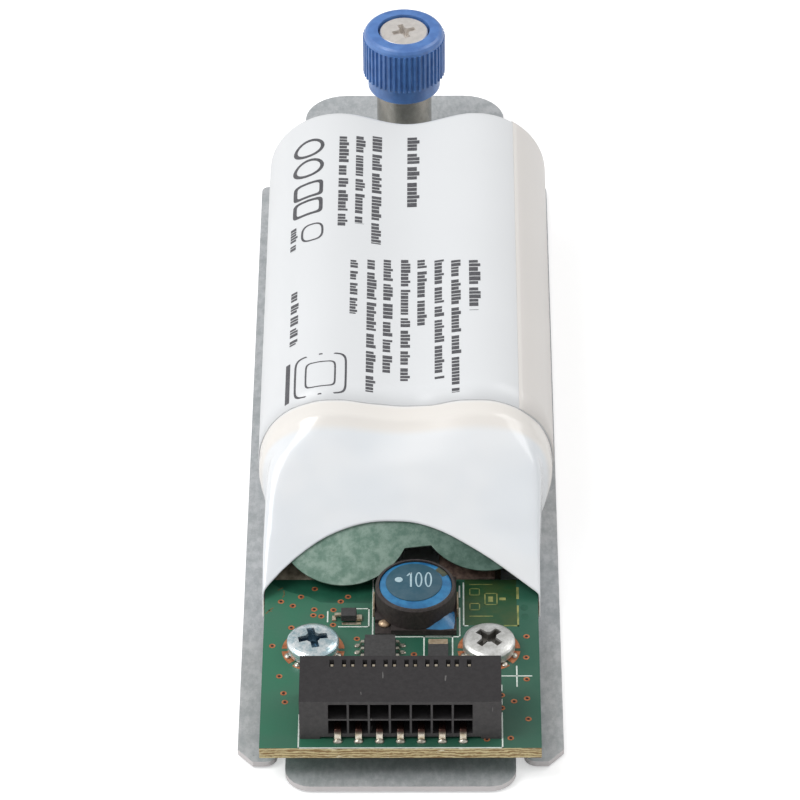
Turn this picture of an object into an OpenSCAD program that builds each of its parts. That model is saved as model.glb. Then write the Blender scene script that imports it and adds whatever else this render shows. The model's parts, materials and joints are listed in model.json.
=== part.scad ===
// Battery module: two cylindrical cells in a shrink sleeve on a flat sheet-steel bracket,
// with a charger board and socket at the front (-Y) and a captive thumbscrew at the rear (+Y).
// Millimetres. The origin is under the middle of the bracket, +Z points away from its underside.

/* [Bracket] */
// Length of the bracket behind the cells, to the rear tab's edge
tail_len = 31.5; // [28:0.5:36]
// Width of the bracket
plate_w = 40; // [39.6:0.2:46]
// Thickness of the sheet steel
plate_t = 0.8; // [0.6:0.1:1.2]
// Width of each front finger, beside the front tab
finger_w = 4.9; // [4:0.1:6]
// How far the front tab stands ahead of the side margins
front_tab_len = 4.4; // [3.6:0.2:6]
// Corner radius of the front tab
front_tab_r = 3.2; // [1:0.2:3.4]
// Step from the bracket's side to the rear tab's side
rear_step = 5.8; // [3:0.2:8]
// How far the rear tab stands behind the side margins
rear_tab_len = 22; // [18:0.5:26]
// Corner radius of the rear tab
rear_tab_r = 5.8; // [2:0.2:8]
// Size of the chamfer on the outer corner of each front finger
finger_chamfer = 1.9; // [0.6:0.1:2.2]
// Rounding of the inner corner of each front finger
finger_r = 1.6; // [0.6:0.1:2]
// Width of the relief slot between each finger and the front tab
relief_gap = 1; // [0.6:0.1:1.6]
// Depth of the relief slot
relief_len = 4; // [2.4:0.2:6]

/* [Cells] */
// Diameter of each cell
cell_d = 18.4; // [17.8:0.1:18.6]
// Length of each cell
cell_len = 64.9; // [64.4:0.1:66]
// Gap between the two cells
cell_gap = 0.2; // [0.1:0.05:0.4]
// Sideways offset of the pack on the bracket
pack_x = 0.5; // [0:0.1:0.6]
// Distance between the board's rear edge and the cells
board_to_cells = 15; // [14:0.5:17]

/* [Sleeve and label] */
// Thickness of the shrink sleeve
sleeve_t = 0.2; // [0.15:0.01:0.3]
// Thickness of the label
label_t = 0.12; // [0.08:0.01:0.2]
// Thickness of the adhesive pad under the pack
pad_t = 0.4; // [0.3:0.05:0.8]
// Depth of the valley that the sleeve sinks into between the cells
valley = 1.1; // [0.2:0.1:1.4]
// Distance of the label's front edge behind the cells' front end
label_setback = 2.7; // [1:0.1:6]
// How far the sleeve's lips reach past the board's rear edge
sleeve_lip = 5; // [4:0.2:6]
// Distance of the sleeve mouth's crown behind the board's rear edge
mouth_crown = 4; // [3:0.2:6]
// How far the mouth's edge runs forward from its crown to the left side of the board
mouth_left = 7.1; // [6:0.1:7.8]
// How far the mouth's edge runs forward from its crown to the right side of the board
mouth_right = 7.5; // [6:0.1:7.8]
// Radius of the sleeve's curled rear edge
curl_r = 1.5; // [1:0.1:1.8]
// Thickness of the fibre insulators
paper_t = 0.4; // [0.3:0.05:0.5]
// Radius of each lobe of the front insulator
lobe_r = 8.6; // [7.6:0.1:8.8]
// Skew of the front insulator in its own plane
lobe_skew = 6; // [4:0.5:9]

/* [Board] */
// Width of the circuit board
board_w = 34.3; // [33.8:0.1:35]
// Length of the circuit board
board_len = 31; // [30.5:0.1:32]
// Thickness of the circuit board
board_t = 1.6; // [1.2:0.1:1.7]
// Distance of the board's front edge behind the front tab's edge
board_setback = 1.9; // [1.5:0.1:3]
// Height of the standoffs above the bracket
standoff_h = 3; // [2.6:0.1:3.6]
// Outer diameter of the standoffs
standoff_d = 5.6; // [4.8:0.1:6.4]
// Distance between the two board screws
screw_pitch = 21.8; // [21:0.1:23]
// Distance of the board screws ahead of the board's rear edge
screw_inset = 13.2; // [12.8:0.1:13.8]
// Thread diameter of the board screws
screw_d = 3.5; // [2.5:0.1:3.6]
// Head diameter of the board screws
screw_head_d = 6.5; // [5.5:0.1:6.8]
// Head height of the board screws
screw_head_h = 2.2; // [1.8:0.1:2.6]

/* [Connector] */
// Distance between neighbouring contacts
pitch = 2.54; // [2.4:0.01:2.6]
// Number of contact columns
columns = 7; // [5:1:7]
// Depth of the housing, front to rear
conn_depth = 8.3; // [7.8:0.1:8.6]
// Height of the housing
conn_h = 6.1; // [5.9:0.1:7]
// Solid end of the housing beyond the last window
conn_end = 3.5; // [2:0.1:4]
// Thickness of the web between two windows
conn_web = 0.25; // [0.2:0.05:0.4]
// Distance of the housing's front face behind the board's front edge
conn_setback = 1.65; // [1.4:0.05:2]

/* [Small parts] */
// Diameter of the power inductor
ind_d = 10; // [9:0.1:10.2]
// Height of the power inductor
ind_h = 4; // [3.4:0.1:4.6]
// Height of the inductor's square base
ind_base_h = 0.85; // [0.6:0.05:0.9]
// Width of the blue resin ring
ind_ring_w = 1.05; // [0.6:0.05:1.4]
// Wall of the inductor's round shield at its top
ind_wall = 0.42; // [0.3:0.02:0.8]
// Length of the controller chip's body
chip_len = 4.9; // [4.4:0.1:5]
// Width of the controller chip's body
chip_w = 3.9; // [3.6:0.1:4]

/* [Thumbscrew] */
// Distance of the thumbscrew's axis from the rear tab's edge
thumb_edge = 12.25; // [10:0.25:13]
// Diameter of the knob over its ridges
knob_d = 11.5; // [10.8:0.1:12]
// Height of the knob from skirt to crown
knob_h = 9.45; // [9.2:0.05:10.5]
// Number of ridges round the knob
ridges = 48; // [36:1:56]
// Depth of the grooves between the ridges
groove = 0.28; // [0.15:0.01:0.4]
// Height of the plain skirt under the ridges
skirt_h = 2.55; // [2:0.05:3]
// Outer diameter of the skirt
skirt_d = 10.1; // [9.8:0.1:10.4]
// Height of the knob's lower edge above the bracket, when raised
knob_lift = 10.65; // [10.2:0.05:11.5]
// Outer diameter of the retainer
retainer_d = 7.7; // [7.4:0.1:8]
// Travel of the thumbscrew from raised to driven home
travel = 4.2; // [3:0.1:4.4]
// Thread diameter of the captive screw
thumb_d = 3.5; // [3:0.1:3.6]
// Diameter of the captive screw's head
thumb_head_d = 6.76; // [6:0.02:7]
// Wire diameter of the spring
wire_d = 0.44; // [0.3:0.02:0.5]
// Turns of the spring
turns = 7; // [5:1:8]

/* [Hidden] */

// Clearances
face_gap = 0.02;
film_gap = 0.05;
seat_gap = 0.1;
slide_gap = 0.3;
thread_gap = 0.1;

// Bracket
plate_len = board_setback + board_len + board_to_cells + cell_len + tail_len;
front_tab_w = plate_w - 2 * (finger_w + relief_gap);
rear_tab_w = plate_w - 2 * rear_step;
plate_front = -plate_len / 2;
plate_rear = plate_len / 2;
margin_front = plate_front + front_tab_len;
margin_rear = plate_rear - rear_tab_len;
finger_in = front_tab_w / 2 + relief_gap;

// Board and what stands on it
board_z0 = plate_t + standoff_h;
board_z = board_z0 + board_t;
board_front = plate_front + board_setback;
board_rear = board_front + board_len;
screw_y = board_rear - screw_inset;
clinch_d = standoff_d - 1.4;
screw_hole_d = screw_d + 0.3;

// Connector
conn_front = board_front + conn_setback;
conn_rear = conn_front + conn_depth;
conn_win_w = pitch - conn_web;
conn_span = (columns - 1) * pitch + conn_win_w;
conn_w = conn_span + 2 * conn_end;
conn_floor = board_z + 0.9;
conn_roof = board_z + conn_h - 0.48;
conn_mid = conn_floor + (conn_roof - conn_floor) * 0.45;
conn_back = 1.4;
contact_w = 0.85;
contact_t = 0.25;

// Small parts
ind_x = 1.8;
ind_base_w = ind_d + 0.2;
ind_y = board_rear - ind_base_w / 2 - 0.35;
lug_w = ind_base_w * 0.32;
corner_cut = ind_base_w * 0.2;
ind_top = board_z + ind_h;
chip_x = -2.6;
chip_y = screw_y - 1.2;
chip_h = 1.5;
chip_rise = 0.15;
lead_pitch = 1.27;
lead_w = 0.42;
lead_t = 0.2;
diode_x = -6.6;
diode_y = ind_y - 1.7;
diode_len = 2.7;
diode_w = 1.7;
diode_h = 1.1;
resistor_x = 4.6;
resistor_y = chip_y;
resistor_len = 5;
resistor_w = 2.5;
resistor_h = 0.65;
cap_len = 0.7;

// Pack
cell_r = cell_d / 2;
cell_pitch = cell_d + cell_gap;
film_r = cell_r + film_gap + sleeve_t;
label_z0 = plate_t + pad_t;
film_z0 = label_z0 + label_t + face_gap;
cell_z = film_z0 + film_r;
film_z1 = film_z0 + 2 * film_r;
cells_front = board_rear + board_to_cells;
cells_rear = cells_front + cell_len;
tab_t = 0.2;
tab_w = 7;
tab_lap = 2.4;
tab_rise_y = 3.4;
tab_rise_z = 4.6;
tab_bend_z = 3.6;
tab_weld_z = 2.8;
tab_left_inset = 0.7;
tab_right_inset = 4.6;
cell_button_r = 4.6;
link_w = 6;
lobe_inset = 0.7;
paper_inset = 1.3;
paper_shift = 1.1;
paper_lead = 0.6;
paper_corner = 4.5;
waist = 4;
fold_y = cells_rear + tab_t + paper_t + 2 * face_gap + film_gap + sleeve_t - curl_r;
sleeve_front = board_rear - sleeve_lip;
label_front = cells_front + label_setback;
label_rear = fold_y;

// Sloping neck of the sleeve: the line its top follows from the board up to the cells
neck_y = board_rear - 2.85;
neck_z = board_z + 1.6;
neck_slope = (film_z1 - 0.2 - neck_z) / (cells_front - neck_y);
neck_angle = atan(neck_slope);
film_half_board = board_w / 2 + seat_gap + sleeve_t;
film_z0_board = board_z0 - tab_t - sleeve_t - seat_gap;
paper_drop = (sleeve_t + paper_t + 0.12) / cos(neck_angle);

// Thumbscrew
thumb_y = plate_rear - thumb_edge;
retainer_top = plate_t + knob_lift + 0.85;
retainer_bore = retainer_d - 1.4;
retainer_foot = 1.6;
clinch_r = retainer_d / 2 - 0.5;
lip_t = 0.6;
lip_r = 2.65;
collar_t = 1.15;
collar_r = retainer_bore / 2 - 0.2;
collar_top = retainer_top - lip_t - film_gap;
knob_z0 = plate_t + knob_lift;
knob_z1 = knob_z0 + knob_h;
knob_ceiling = retainer_top + travel + slide_gap;
knob_bore = retainer_d + 2 * slide_gap;
knob_floor = knob_z1 - 2.2;
crown_h = 1;
shank_r = lip_r - 0.25;
head_hole_d = thumb_head_d + 0.5;
head_top = knob_z1 - 0.25;
relief_r = thumb_d / 2 - 0.35;
thread_len = 4.4;
spring_r = (retainer_bore / 2 + thumb_d / 2) / 2;

// ---- helpers ----

// Points along an arc in the plane, from angle a0 to a1
function arc(x, y, r, a0, a1, n = 8) =
    [for (i = [0:n]) let (a = a0 + (a1 - a0) * i / n) [x + r * cos(a), y + r * sin(a)]];

// Turned body from its radius and height pairs
module turned(profile, n = 64) rotate_extrude($fn = n) polygon(profile);

// A bent strip: an outline in the Y-Z plane, w wide, centred on X
module strip(outline, w)
    translate([-w / 2, 0, 0]) rotate([90, 0, 90]) linear_extrude(w) polygon(outline);

// Outline of a strip of thickness t that follows a path of points
function offset_path(path, t) = [for (i = [0:len(path) - 1])
    let (
        a = path[max(i - 1, 0)],
        b = path[min(i + 1, len(path) - 1)],
        d = (b - a) / norm(b - a)
    ) path[i] + t * [-d[1], d[0]]];
function band(path, t) = concat(
    path,
    [for (i = [len(path) - 1:-1:0]) offset_path(path, t)[i]]
);

// Cross recess: two crossed slots and a tapered centre, cut downwards from z = 0
module cross_recess(span, slot, depth) {
    for (a = [0, 90])
        rotate(a) translate([-span / 2, -slot / 2, -depth]) cube([span, slot, depth + 1]);
    translate([0, 0, -depth * 1.25]) cylinder(h = depth * 1.25 + 0.01, r1 = slot * 0.6, r2 = slot, $fn = 24);
}

// ---- bracket ----

module plate_outline() {
    half = plate_w / 2;
    tab = front_tab_w / 2;
    rear = rear_tab_w / 2;
    side = concat(
        arc(tab - front_tab_r, plate_front + front_tab_r, front_tab_r, -90, 0),
        [[tab, margin_front + relief_len]],
        [[finger_in, margin_front + relief_len]],
        arc(finger_in + finger_r, margin_front + finger_r, finger_r, 180, 270),
        [[half - finger_chamfer, margin_front], [half, margin_front + finger_chamfer * 1.15]],
        arc(half - 1, margin_rear - 1, 1, 0, 90, 4),
        [[rear, margin_rear]],
        arc(rear - rear_tab_r, plate_rear - rear_tab_r, rear_tab_r, 0, 90)
    );
    polygon(concat(side, [for (i = [len(side) - 1:-1:0]) [-side[i][0], side[i][1]]]));
}

module bracket() color("lightgray") difference() {
    linear_extrude(plate_t) plate_outline();
    for (s = [-1, 1])
        translate([s * screw_pitch / 2, screw_y, -1]) cylinder(h = plate_t + 2, d = clinch_d + 2 * face_gap, $fn = 48);
    translate([0, thumb_y, -1]) cylinder(h = plate_t + 2, r = clinch_r + face_gap, $fn = 48);
}

module board_standoffs() color("silver")
    for (s = [-1, 1]) translate([s * screw_pitch / 2, screw_y, 0]) turned([
        [screw_d / 2 + face_gap, 0], [clinch_d / 2, 0], [clinch_d / 2, plate_t],
        [standoff_d / 2, plate_t], [standoff_d / 2, board_z0 - 0.3], [standoff_d / 2 - 0.3, board_z0],
        [screw_d / 2 + face_gap, board_z0]
    ], 48);

// ---- board ----

module circuit_board() color("seagreen") difference() {
    translate([-board_w / 2, board_front, board_z0]) cube([board_w, board_len, board_t]);
    for (s = [-1, 1])
        translate([s * screw_pitch / 2, screw_y, 0]) cylinder(h = board_z + 1, d = screw_hole_d, $fn = 48);
}

// Pan head: flat underside, short rim and a domed crown
module board_screw() difference() {
    r = screw_head_d / 2;
    rim = screw_head_h * 0.66;
    union() {
        translate([0, 0, board_z]) turned(concat(
            [[0, 0], [r - 0.3, 0], [r, 0.4], [r, rim]],
            [for (i = [1:8]) [r * cos(i * 10), rim + (screw_head_h - rim) * sin(i * 10)]],
            [[0, screw_head_h]]
        ));
        translate([0, 0, 0.4]) cylinder(h = board_z - 0.4 + 0.1, r = screw_d / 2, $fn = 48);
    }
    translate([0, 0, board_z + screw_head_h]) cross_recess(screw_head_d * 0.56, 0.95, 1.3);
}

module board_screws() color("gainsboro")
    for (s = [-1, 1]) translate([s * screw_pitch / 2, screw_y, 0]) rotate(s * 18 + 30) board_screw();

// ---- connector ----

function column_x(i) = (i - (columns - 1) / 2) * pitch;
contact_lift = 0.5;
lower_z = conn_floor + contact_lift;
upper_z = conn_mid + conn_web + contact_lift;

// Centre line of a contact: along its window, round the bend and down to its solder foot
function contact_path(z, y_in, y_out, dir) = concat(
    [[y_in, z], [y_out - dir * 0.1, z]],
    arc_path(y_out - dir * 0.1, z - 0.55, 0.55, dir),
    [[y_out + dir * 0.5, board_z + 0.45]],
    [[y_out + dir * 0.62, board_z + 0.12 + face_gap], [y_out + dir * 1.15, board_z + face_gap]]
);
function arc_path(y, z, r, dir) = [for (a = [60:-30:0]) [y + dir * r * cos(a), z + r * sin(a)]];

module contact(path, turn) strip(band(path, turn * contact_t), contact_w);

module connector_contacts() color("wheat") for (i = [0:columns - 1]) translate([column_x(i), 0, 0]) {
    contact(contact_path(lower_z, conn_rear - 0.9, conn_front, -1), -1);
    contact(contact_path(upper_z, conn_front + 1.2, conn_rear, 1), 1);
}

module connector_housing() color("dimgray") difference() {
    translate([-conn_w / 2, conn_front, board_z]) difference() {
        cube([conn_w, conn_depth, conn_h]);
        // Relief under the housing, so that it stands on its two ends
        translate([conn_end - 1, -1, -1]) cube([conn_w - 2 * conn_end + 2, conn_depth + 2, 1.35]);
    }
    for (i = [0:columns - 1]) translate([column_x(i) - conn_win_w / 2, 0, 0]) {
        translate([0, conn_front - 1, conn_floor]) cube([conn_win_w, conn_depth - conn_back + 1, conn_mid - conn_floor]);
        translate([0, conn_front - 1, conn_mid + conn_web])
            cube([conn_win_w, conn_depth - conn_back + 1, conn_roof - conn_mid - conn_web]);
    }
    for (i = [0:columns - 1]) translate([column_x(i), 0, 0]) {
        // Slots that hold the rear ends of the contacts
        for (z = [lower_z, upper_z])
            translate([-contact_w / 2 - film_gap, conn_rear - conn_back - 1, z - contact_t - film_gap])
                cube([contact_w + 2 * film_gap, conn_back + 2, contact_t * 2 + 2 * film_gap]);
        // Pairs of inspection notches in the roof
        for (s = [-0.75, 0.75])
            translate([s - 0.275, conn_rear - 2, conn_roof - 1]) cube([0.55, 1.3, conn_h]);
    }
}

// ---- inductor ----

module inductor_base() color("black") translate([ind_x, ind_y, board_z]) difference() {
    translate([-ind_base_w / 2, -ind_base_w / 2, 0]) cube([ind_base_w, ind_base_w, ind_base_h]);
    // Open corner over the winding's soldered end
    translate([-ind_base_w / 2 - 1, -ind_base_w / 2 - 1, ind_base_h * 0.4])
        cube([corner_cut + 1, corner_cut + 1, ind_base_h]);
}

module inductor_shield() color("dimgray") translate([ind_x, ind_y, 0]) turned([
    [ind_d / 2 - ind_wall - ind_ring_w - 0.9, board_z + ind_base_h],
    [ind_d / 2, board_z + ind_base_h], [ind_d / 2, ind_top - 0.25], [ind_d / 2 - 0.2, ind_top],
    [ind_d / 2 - ind_wall, ind_top], [ind_d / 2 - ind_wall, ind_top - 0.6],
    [ind_d / 2 - ind_wall - 0.3, ind_top - 0.6], [ind_d / 2 - ind_wall - 0.3, board_z + ind_base_h + 0.4],
    [ind_d / 2 - ind_wall - ind_ring_w - 0.9, board_z + ind_base_h + 0.4]
]);

// Resin that fills the gap between core and shield, and the corner pool on the base
module inductor_resin() color("steelblue") translate([ind_x, ind_y, 0]) {
    difference() {
        translate([0, 0, ind_top - 0.55]) cylinder(h = 0.5, r = ind_d / 2 - ind_wall - face_gap, $fn = 64);
        translate([0, 0, ind_top - 1]) cylinder(h = 2, r = ind_d / 2 - ind_wall - ind_ring_w, $fn = 64);
    }
    corner = ind_base_w / 2 - 0.25;
    difference() {
        translate([corner * 0.27, -corner, board_z + ind_base_h]) cube([corner * 0.73, corner * 0.73, 0.3]);
        translate([0, 0, board_z]) cylinder(h = 3, r = ind_d / 2 + face_gap, $fn = 64);
    }
}

module inductor_core() color("slategray") translate([ind_x, ind_y, 0]) {
    r = ind_d / 2 - ind_wall - ind_ring_w - face_gap;
    turned([
        [0, board_z + ind_base_h + 0.4], [r, board_z + ind_base_h + 0.4], [r, board_z + ind_base_h + 0.8],
        [r * 0.55, board_z + ind_base_h + 0.8], [r * 0.55, ind_top - 0.7], [r, ind_top - 0.7],
        [r, ind_top - 0.15], [r - 0.1, ind_top - 0.05], [0, ind_top - 0.05]
    ]);
}

// Solder lugs on the two sides of the base, and the shining wire end in the open corner
module inductor_terminals() color("tan") translate([ind_x, ind_y, board_z]) {
    for (s = [-1, 1]) {
        x = s * (ind_base_w / 2 + 0.12 + face_gap);
        translate([x - 0.12, -lug_w / 2, 0]) cube([0.24, lug_w, ind_base_h + 0.5]);
    }
    translate([(corner_cut - ind_base_w) / 2, (corner_cut - ind_base_w) / 2, ind_base_h * 0.4]) turned(concat(
        [[0, 0], [0.75, 0]], [for (a = [15:15:75]) [0.75 * cos(a), 0.45 * sin(a)]], [[0, 0.45]]
    ), 24);
}

// ---- chip, diode and resistor ----

module controller_chip() color("black") translate([chip_x, chip_y, board_z + chip_rise]) {
    translate([-chip_w / 2, -chip_len / 2, 0]) cube([chip_w, chip_len, (chip_h - chip_rise) * 0.5]);
    translate([-chip_w / 2 + 0.08, -chip_len / 2 + 0.08, (chip_h - chip_rise) * 0.5])
        cube([chip_w - 0.16, chip_len - 0.16, (chip_h - chip_rise) * 0.5]);
}

// Gull-wing lead: out of the body, down and out to its foot
function gull(reach, z_top) = [
    [0, z_top], [reach * 0.35, z_top], [reach * 0.6, lead_t + face_gap], [reach, lead_t + face_gap],
    [reach, face_gap], [reach * 0.45, face_gap], [reach * 0.25, z_top - lead_t], [0, z_top - lead_t]
];
module lead(reach, z_top, w)
    translate([0, w / 2, 0]) rotate([90, 0, 0]) linear_extrude(w) polygon(gull(reach, z_top));

module chip_leads() color("silver") translate([chip_x, chip_y, board_z])
    for (s = [0, 180], i = [-1.5:1:1.5]) rotate(s)
        translate([chip_w / 2 + face_gap, i * lead_pitch, 0]) lead(1.05, chip_h * 0.55, lead_w);

module diode_body() color("black") translate([diode_x, diode_y, board_z + 0.1])
    translate([-diode_len / 2, -diode_w / 2, 0]) cube([diode_len, diode_w, diode_h]);

module diode_leads() color("silver") translate([diode_x, diode_y, board_z])
    for (s = [0, 180]) rotate(s) translate([diode_len / 2 + face_gap, 0, 0]) lead(0.75, 0.6, 1);

module resistor_body() color("black") translate([resistor_x, resistor_y, board_z + 0.05]) {
    body = resistor_len - 2 * cap_len - 2 * face_gap;
    translate([-resistor_w / 2, -body / 2, 0]) cube([resistor_w, body, resistor_h]);
}

module resistor_caps() color("tan") translate([resistor_x, resistor_y, board_z])
    for (s = [0, 180]) rotate(s)
        translate([-resistor_w / 2, resistor_len / 2 - cap_len, 0]) cube([resistor_w, cap_len, resistor_h + 0.07]);

// ---- cells ----

// One cell, standing on its can bottom: can, crimp groove, insulating ring recess and raised cap
module cell() turned([
    [0, 0], [cell_r - 0.8, 0], [cell_r - 0.23, 0.23], [cell_r, 0.8], [cell_r, cell_len - 4.6],
    [cell_r - 0.15, cell_len - 4.3], [cell_r - 0.7, cell_len - 3.9], [cell_r - 0.7, cell_len - 3.5],
    [cell_r - 0.15, cell_len - 3.1], [cell_r, cell_len - 2.8], [cell_r, cell_len - 1],
    [cell_r - 0.3, cell_len - 0.4], [cell_r - 0.9, cell_len - 0.25], [cell_r - 2.1, cell_len - 0.25],
    [cell_r - 2.1, cell_len - 0.8], [cell_button_r, cell_len - 0.8],
    [cell_button_r - 0.3, cell_len - 0.1], [cell_button_r - 0.4, cell_len], [0, cell_len]
]);

module cell_left() color("teal") translate([pack_x - cell_pitch / 2, cells_rear, cell_z]) rotate([90, 0, 0]) cell();
module cell_right() color("teal") translate([pack_x + cell_pitch / 2, cells_front, cell_z]) rotate([-90, 0, 0]) cell();

// Strip that joins the cells at the rear
module cell_link() color("silver")
    translate([pack_x - cell_pitch / 2 - link_w * 0.7, cells_rear + face_gap, cell_z - link_w / 2])
        cube([cell_pitch + link_w * 1.4, tab_t, link_w]);

// Strip from a cell's front face down to its pad under the board's rear edge
function tab_path() = [
    [board_rear - tab_lap, board_z0 - face_gap],
    [board_rear + 0.9, board_z0 - face_gap],
    [board_rear + 1.5, board_z0 + 0.3],
    [cells_front - tab_rise_y, cell_z - tab_rise_z],
    [cells_front - face_gap - tab_t - 0.6, cell_z - tab_bend_z],
    [cells_front - face_gap - tab_t, cell_z - tab_weld_z],
    [cells_front - face_gap - tab_t, cell_z + 3]
];
module cell_tab() color("silver") strip(band(tab_path(), -tab_t), tab_w);

module left_cell_tab() translate([-board_w / 2 + tab_w / 2 + tab_left_inset, 0, 0]) cell_tab();
module right_cell_tab() translate([board_w / 2 - tab_w / 2 - tab_right_inset, 0, 0]) cell_tab();

// ---- insulators and pad ----

// Two-lobed fibre sheet that leans from the cells down over the board's rear edge
module front_insulator() color("darkseagreen") {
    spread = cell_pitch - lobe_inset;
    lift = lobe_r + spread / 2 * sin(lobe_skew);
    side = board_w / 2 - paper_inset;
    translate([pack_x + paper_shift, neck_y, neck_z - paper_drop])
        rotate([neck_angle, 0, 0]) translate([0, lift + paper_lead, 0]) linear_extrude(paper_t) intersection() {
            rotate(lobe_skew) union() {
                for (s = [-1, 1]) translate([s * spread / 2, 0]) circle(r = lobe_r, $fn = 64);
                translate([-spread / 2, -lobe_r + waist]) square([spread, 2 * (lobe_r - waist)]);
            }
            translate([-pack_x - paper_shift, -lift]) polygon([
                [-side, -1], [side, -1], [side, lobe_r], [side - paper_corner, 2.6 * lobe_r],
                [paper_corner - side, 2.6 * lobe_r], [-side, lobe_r]
            ]);
        }
}

// Two-lobed sheet behind the cells, over the link strip
module rear_insulator() color("darkseagreen")
    translate([pack_x, cells_rear + tab_t + 2 * face_gap + paper_t, cell_z]) rotate([90, 0, 0]) linear_extrude(paper_t) {
        for (s = [-1, 1]) translate([s * cell_pitch / 2, 0]) circle(r = cell_r - 1.2, $fn = 64);
        translate([-cell_pitch / 2, -cell_r / 2]) square([cell_pitch, cell_r]);
    }

module adhesive_pad() color("whitesmoke")
    translate([pack_x - cell_pitch / 2 + 0.4, cells_front + 6, plate_t])
        cube([cell_pitch - 0.8, cell_len - 12, pad_t]);

// ---- sleeve and label ----

// Closed outline round the pack. hw is its half width, z0 and z1 its bottom and top, dip the valley's
// depth and sq the squareness of its sides: 2 is a half circle, more is closer to a box.
caps = 18;
flats = 8;
function power(v, e) = sign(v) * pow(abs(v), e);
function outline(xc, hw, z0, z1, dip, sq) =
    let (r = (z1 - z0) / 2, zc = (z0 + z1) / 2, w = hw - r)
    concat(
        [for (i = [0:caps]) let (a = -90 + 180 * i / caps)
            [xc + w + r * power(cos(a), 2 / sq), zc + r * power(sin(a), 2 / sq)]],
        [for (i = [1:flats - 1]) let (u = 1 - 2 * i / flats)
            [xc + w * u, z1 - dip * (1 + cos(180 * u)) / 2]],
        [for (i = [0:caps]) let (a = 90 + 180 * i / caps)
            [xc - w + r * power(cos(a), 2 / sq), zc + r * power(sin(a), 2 / sq)]],
        [for (i = [1:flats - 1]) let (u = -1 + 2 * i / flats) [xc + w * u, z0]]
    );

// Outline of the film at a distance y along the pack, drawn in by inset
function smooth(t) = let (c = min(max(t, 0), 1)) c * c * (3 - 2 * c);
function film_outline(y, inset) =
    let (
        // 0 at the board, 1 at the cells
        t = (y - board_rear) / (cells_front - board_rear),
        round_up = smooth((t - 0.78) / 0.22),
        top = min(max(neck_z + (y - neck_y) * neck_slope, board_z + 0.75), film_z1)
    )
    outline(
        pack_x * smooth(t),
        film_half_board + (pack_half - film_half_board) * round_up - inset,
        film_z0_board + (film_z0 - film_z0_board) * smooth(t) + inset,
        top - inset,
        valley * smooth((t - 0.7) / 0.3),
        8 - 6 * smooth((t - 0.6) / 0.4)
    );
pack_half = cell_pitch / 2 + film_r;

// Stations along the sleeve, close together where the film bends
neck_stations = [for (i = [0:6]) sleeve_front + (cells_front - 3.6 - sleeve_front) * i / 6];
sleeve_stations = concat(
    neck_stations,
    [cells_front - 2.4, cells_front - 1.3, cells_front - 0.5, cells_front + 0.4]
);
// Rear edge of the film, curled over the rear insulator: distance along Y and inset
flap = 2.9;
function curl(r, a) = [r * sin(a), curl_r - r * cos(a)];
fold_out = concat([for (a = [0:18:90]) curl(curl_r, a)], [[curl_r, flap]]);
fold_in = concat([[curl_r - sleeve_t, flap]], [for (a = [90:-18:0]) curl(curl_r - sleeve_t, a)]);

// Skin over a closed loop of outlines, each a list of points at its own y
module skin(rings, ys) {
    n = len(rings[0]);
    m = len(rings);
    points = [for (k = [0:m - 1], p = rings[k]) [p[0], ys[k], p[1]]];
    faces = [for (k = [0:m - 1], i = [0:n - 1])
        let (a = k * n, b = ((k + 1) % m) * n, j = (i + 1) % n)
        for (f = [[a + i, a + j, b + i], [a + j, b + j, b + i]]) f];
    polyhedron(points, faces, convexity = 6);
}

// Wall of the film: outside from mouth to rear edge, round the curl, and back inside
module tube() {
    m = len(sleeve_stations);
    path = concat(
        [for (y = sleeve_stations) [y, 0]],
        [for (p = fold_out) [fold_y + p[0], p[1]]],
        [for (p = fold_in) [fold_y + p[0], p[1]]],
        [for (k = [m - 1:-1:0]) [sleeve_stations[k], sleeve_t]]
    );
    skin([for (p = path) film_outline(p[0], p[1])], [for (p = path) p[0]]);
}

// Distance of the mouth's edge ahead of its crown at x: a deepening sag on the left, a straight cut on the right
bow = 2.2;
function mouth_drop(x) = let (
        u = max(0, -x - 1.5) / (board_w / 2 - 1.5),
        v = max(0, x) / (board_w / 2)
    )
    mouth_left * (0.73 * u * u + 0.27 * u * u * u)
    + mouth_right * (sqrt(1 + bow * bow * v * v) - 1) / (sqrt(1 + bow * bow) - 1);

// The mouth's edge: an arch over the board, from lip to lip
module mouth() {
    crown = board_rear + mouth_crown;
    reach = board_w / 2 + 2;
    translate([0, 0, board_z0 + board_t / 2]) linear_extrude(film_z1) polygon(concat(
        [for (i = [-16:16]) let (x = reach * i / 16) [x, crown - mouth_drop(x)]],
        [[reach, sleeve_front - 5], [-reach, sleeve_front - 5]]
    ));
}

module shrink_sleeve() color("white") difference() {
    tube();
    mouth();
}

// Ring of constant section along the pack, from distance a to distance b outside the sleeve
module wrap(a, b) {
    half = pack_half;
    outer = outline(pack_x, half + b, film_z0 - b, film_z1 + b, valley, 2);
    inner = outline(pack_x, half + a, film_z0 - a, film_z1 + a, valley, 2);
    translate([0, label_rear, 0]) rotate([90, 0, 0]) linear_extrude(label_rear - label_front)
        difference() {
            polygon(outer);
            polygon(inner);
        }
}

module pack_label() color("gainsboro") wrap(face_gap, face_gap + label_t);

// ---- thumbscrew ----

module screw_retainer() color("silver") translate([0, thumb_y, 0]) turned([
    [thumb_d / 2 + thread_gap, 0], [clinch_r, 0], [clinch_r, plate_t], [retainer_d / 2, plate_t],
    [retainer_d / 2, retainer_top - 0.3], [retainer_d / 2 - 0.3, retainer_top], [lip_r, retainer_top],
    [lip_r, retainer_top - lip_t], [retainer_bore / 2, retainer_top - lip_t],
    [retainer_bore / 2, retainer_foot], [thumb_d / 2 + thread_gap, retainer_foot]
]);

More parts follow.
